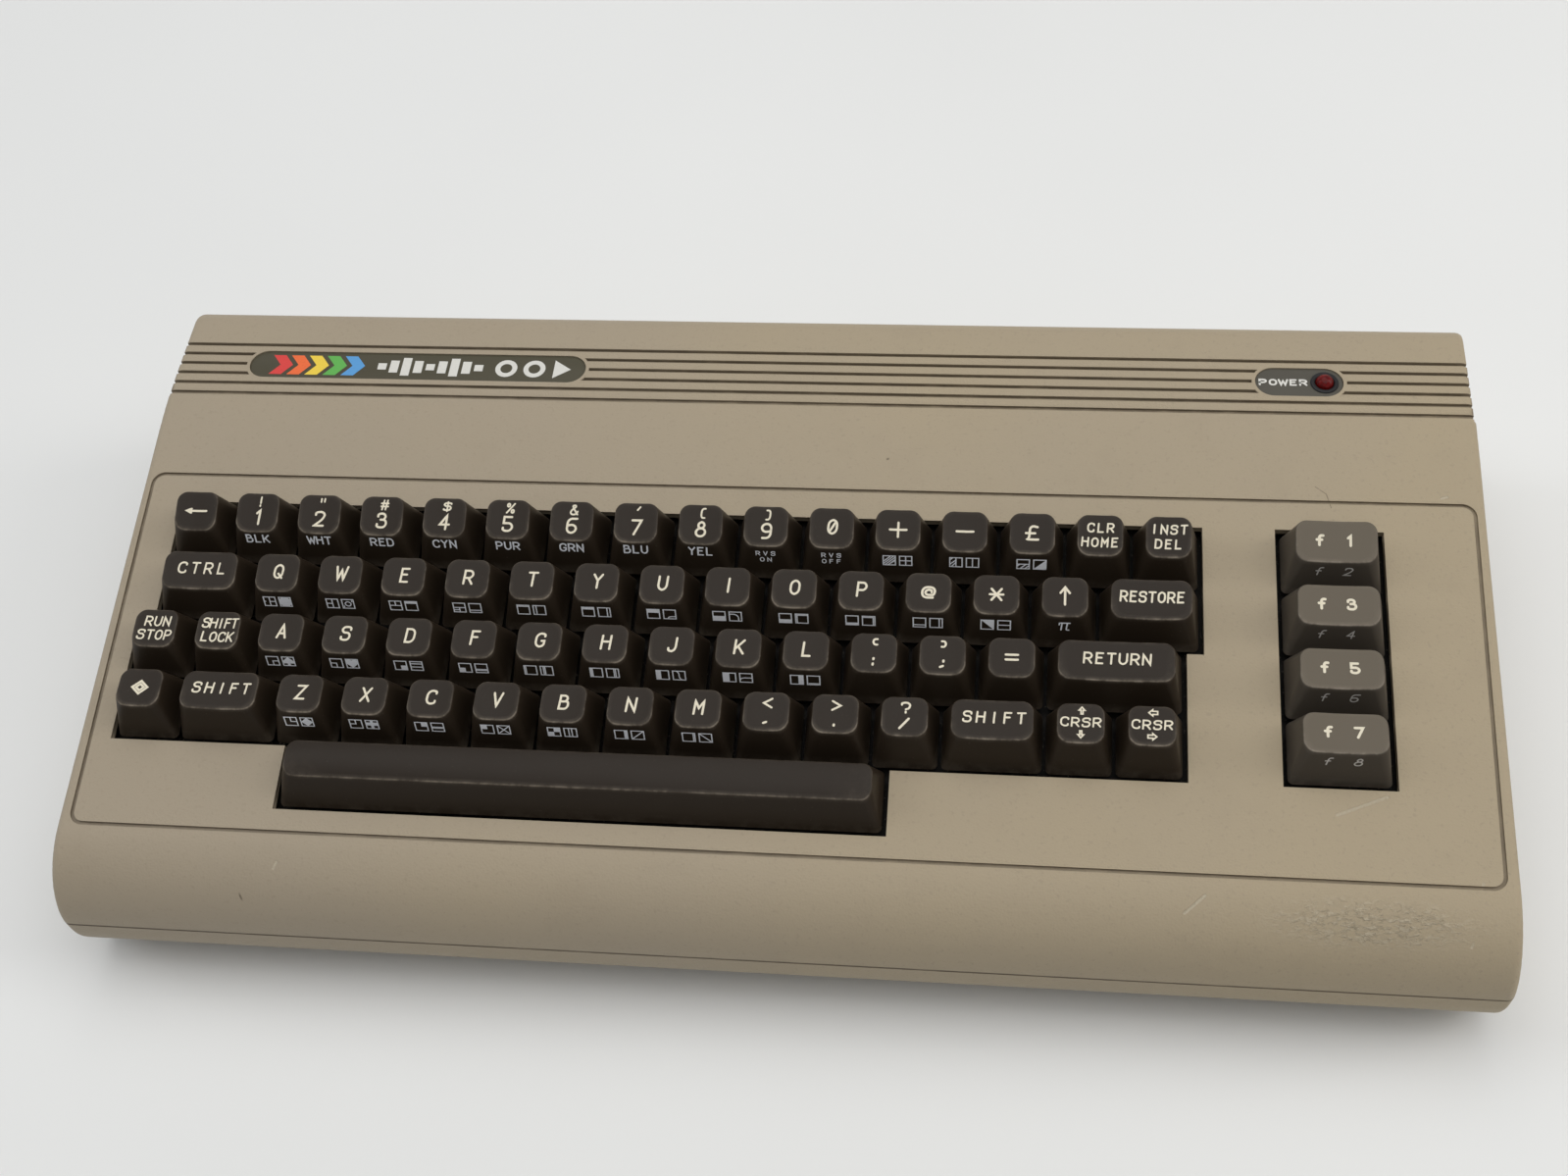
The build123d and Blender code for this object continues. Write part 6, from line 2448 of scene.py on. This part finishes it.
@dataclass
class MainBoard:
    """The main board with its parts, in metres."""

    board_top: float = BOARD_TOP * MM
    board_under: float = 0.014
    pin_pitch: float = 0.00254
    chip_end: float = 0.001
    leg: Place = (0.0011, 0.0007, 0.0018)
    tongues: tuple[tuple[float, int], ...] = ((-0.138, 12), (-0.088, 6))
    tongue_pitch: float = 0.00396
    tongue_y: float = 0.0915
    tongue_finger: Place = (0.0024, 0.0085, 0.0001)
    socket: tuple[float, int] = (0.104, 22)
    socket_y: float = 0.08
    socket_levels: Point = (0.024, 0.0222)
    socket_finger: Place = (0.0013, 0.0080, 0.0003)
    can_top: float = 0.0002

    def build(self) -> list[Piece]:
        """Dresses the board and its parts, and adds legs and contact fingers.

        Returns:
            The pieces.
        """
        return [
            dressed("main_board", Palette.BOARD, "board_laminate"),
            dressed("board_screws", Palette.STEEL, "screw_steel"),
            dressed("integrated_circuits", Palette.CHIP, "chip_plastic"),
            dressed("rf_modulator", Palette.TIN, "tinned_can"),
            self._cans(),
            self._legs(),
            self._fingers(),
        ]

    def _cans(self) -> Piece:
        """Dresses the capacitors, with a bare top inside the sleeve's curled edge.

        Returns:
            The capacitors as one piece.
        """
        cans = merged_copy("capacitors", "capacitor_cans", Palette.SLEEVE)
        cans.data.materials.append(Palette.TIN.material())
        top = max(v.co.z for v in cans.data.vertices)
        for face in cans.data.polygons:
            if face.center.z > top - self.can_top and face.normal.z > 0.95:
                face.material_index = 1
        return fixed(cans, CASE_BODY, "can_sleeve", "capacitors")

    def _blocks(self, name: str, finish: Palette) -> GeometryTree:
        """Makes a group that puts a small block on every point.

        Args:
            name: The group's name.
            finish: The blocks' finish.

        Returns:
            The group.
        """
        tree = GeometryTree(name)
        size = tree.size("Size", "NodeSocketVector")
        tree.finish(tree.node("GeometryNodeMeshCube", {"Size": size}), finish)
        return tree

    def _legs(self) -> Piece:
        """Builds the legs along both long sides of every circuit.

        Returns:
            The legs as one piece.
        """
        rows: tuple[list[Place], list[Place]] = ([], [])
        for low, high in solid_boxes("integrated_circuits"):
            size = high - low
            along = 0 if size.x > size.y else 1
            across = 1 - along
            count = int((size[along] - self.chip_end) / self.pin_pitch)
            for step in centred(count, self.pin_pitch):
                for edge in (low[across], high[across]):
                    place = [0.0, 0.0, self.board_top + self.leg[2] / 2]
                    place[along] = (low[along] + high[along]) / 2 + step
                    place[across] = edge
                    rows[along].append(tuple(place))
        tree = self._blocks("circuit_legs", Palette.TIN)
        length, width, height = self.leg
        sizes = ((length, width, height), (width, length, height))
        made = [tree.run(f"legs_{i}", points, {"Size": sizes[i]}) for i, points in enumerate(rows) if points]
        return fixed(joined("circuit_legs", made), CASE_BODY, "tinned_can")

    def _fingers(self) -> Piece:
        """Builds gold fingers on the edge ports' tongues and in the cartridge socket.

        Returns:
            The fingers as one piece.
        """
        tree = self._blocks("contact_fingers", Palette.GOLD)
        on_tongues, in_socket = [], []
        for centre, count in self.tongues:
            for step in centred(count, self.tongue_pitch):
                on_tongues += [(centre + step, self.tongue_y, z) for z in (self.board_top, self.board_under)]
        for step in centred(self.socket[1], self.pin_pitch):
            in_socket += [(self.socket[0] + step, self.socket_y, z) for z in self.socket_levels]
        tongues = tree.run("tongue_fingers", on_tongues, {"Size": self.tongue_finger})
        springs = tree.run("socket_fingers", in_socket, {"Size": self.socket_finger})
        return fixed(joined("contact_fingers", [tongues, springs]), CASE_BODY, "board_laminate")


def centred(count: int, pitch: float) -> list[float]:
    """Evenly spaced places around zero."""
    return [(k - (count - 1) / 2) * pitch for k in range(count)]


@dataclass
class Ports:
    """Everything that shows in the rear and side windows."""

    on_case: tuple[str, ...] = (
        "cartridge_socket",
        "din_sockets",
        "power_socket",
        "control_ports",
        "power_switch",
    )
    moving: tuple[tuple[str, Palette, str], ...] = (
        ("power_rocker", Palette.ROCKER, "rocker_plastic"),
        ("channel_selector", Palette.BLACK, "port_plastic"),
    )
    side_face: float = 0.2014
    shell_reach: float = 0.0058
    pin_depth: float = 0.0004

    def build(self) -> list[Piece]:
        """Dresses every port, and paints shells and pins as metal.

        Returns:
            The pieces.
        """
        pieces = []
        still = [(node, Palette.BLACK, "port_plastic") for node in self.on_case]
        for node, finish, slot in (*still, *self.moving):
            copy = merged_copy(node, node + "_dressed", finish)
            if node == "control_ports":
                self._metal_shells(copy)
            pieces.append(fixed(copy, CASE_BODY if node in self.on_case else node, slot, node))
        return pieces

    def _metal_shells(self, ports: Piece) -> None:
        """Paints the slanted shells tin and the pins gold.

        Args:
            ports: The control ports.
        """
        ports.data.materials.append(Palette.TIN.material())
        ports.data.materials.append(Palette.GOLD.material())
        shell_start = self.side_face - self.shell_reach + 0.0002
        for face in ports.data.polygons:
            if face.center.x >= shell_start:
                reach = max(ports.data.vertices[i].co.x for i in face.vertices)
                face.material_index = 2 if reach < self.side_face - self.pin_depth else 1


@dataclass
class Underside:
    """Feet and case screws."""

    def build(self) -> list[Piece]:
        """Dresses the feet and the screws."""
        feet = dressed("rubber_feet", Palette.RUBBER, "foot_rubber")
        return [feet, dressed("case_screws", Palette.STEEL, "screw_steel")]


# --- Studio ---


@dataclass(frozen=True)
class Lamp:
    """A rectangular lamp that faces the computer."""

    name: str
    place: Place
    size: Point
    watts: float
    colour: Colour

    def build(self, target: Place) -> None:
        """Adds the lamp to the scene.

        Args:
            target: The point that it faces.
        """
        lamp = bpy.data.lights.new(self.name, "AREA")
        lamp.shape = "RECTANGLE"
        lamp.size, lamp.size_y = self.size
        lamp.energy = self.watts
        lamp.color = self.colour
        holder = bpy.data.objects.new(self.name, lamp)
        holder.location = self.place
        holder.rotation_euler = (Vector(target) - Vector(self.place)).to_track_quat("-Z", "Y").to_euler()
        bpy.context.scene.collection.objects.link(holder)


@dataclass
class Studio:
    """Floor, lamps, surroundings and camera."""

    camera_place: Place = (0.0664541, -0.3243586, 0.5190474)
    camera_right: Place = (0.99273809, 0.09242168, -0.07700211)
    camera_down: Place = (0.03049742, -0.81255558, -0.58208534)
    camera_forward: Place = (-0.1163658, 0.57550992, -0.80947349)
    focal_share: float = 1976.166 / 1599.0
    sensor: float = 36.0
    nearest: float = 0.01
    floor_reach: float = 3.0
    world_colour: Colour = (0.86, 0.87, 0.875)
    world_light: float = 0.30
    lamp_target: Place = (0.0, 0.0, 0.05)
    lamps: tuple[Lamp, ...] = (
        Lamp("overhead_softbox", (0.1, 0.10, 1.6), (2.4, 1.8), 21.0, (1.0, 0.99, 0.97)),
        Lamp("left_softbox", (-1.5, 0.1, 0.9), (0.7, 1.2), 4.5, (0.95, 0.975, 1.0)),
        Lamp("right_softbox", (1.5, 0.1, 0.9), (0.7, 1.2), 7.0, (1.0, 0.97, 0.92)),
    )

    def build(self) -> None:
        """Makes the floor, the lamps, the world and the camera."""
        self._floor()
        for lamp in self.lamps:
            lamp.build(self.lamp_target)
        self._world()
        self._camera()

    def _floor(self) -> None:
        """A wide pale floor at the height of the feet."""
        r = self.floor_reach
        corners = [(-r, -r, 0.0), (r, -r, 0.0), (r, r, 0.0), (-r, r, 0.0)]
        paper = [Palette.PAPER.material()]
        mesh_object("studio_floor", corners, [(0, 1, 2, 3)], paper, smooth=False)

    def _world(self) -> None:
        """Even pale surroundings, which the eye and reflections see as bright as the floor."""
        tree = Tree(bpy.data.worlds.new("pale_room"))
        light = tree.node("ShaderNodeBackground", None, {0: (*self.world_colour, 1.0), 1: self.world_light})
        pale = tree.node("ShaderNodeBackground", None, {0: (*Palette.PAPER.value.room, 1.0), 1: 1.0})
        shown = tree.node("ShaderNodeMixShader", None, {0: tree.seen(), 1: light, 2: pale})
        bpy.context.scene.world = tree.end(shown)

    def _camera(self) -> None:
        """The camera above the user's right hand."""
        lens = bpy.data.cameras.new("view")
        lens.sensor_width = self.sensor
        lens.lens = self.focal_share * self.sensor
        lens.clip_start = self.nearest
        holder = bpy.data.objects.new("view", lens)
        axes = (self.camera_right, self.camera_down, self.camera_forward)
        right, down, forward = (Vector(axis) for axis in axes)
        turned = Matrix((right, -down, -forward)).transposed().to_4x4()
        turned.translation = Vector(self.camera_place)
        holder.matrix_world = turned
        bpy.context.scene.collection.objects.link(holder)
        bpy.context.scene.camera = holder
        bpy.context.scene.view_settings.view_transform = "Standard"


def main() -> None:
    """Builds every sub-assembly in order and reports its pieces."""
    logging.basicConfig(level=logging.INFO, format="%(message)s")
    inside = (KeyMechanism(), MainBoard(), Ports(), Underside())
    for assembly in (CaseShell(), Badges(), PowerLamp(), Keyboard(), *inside):
        for piece in assembly.build():
            log.info("%s: %s", type(assembly).__name__, piece.name)
    Studio().build()
    log.info("studio ready")


if __name__ == "__main__":
    main()
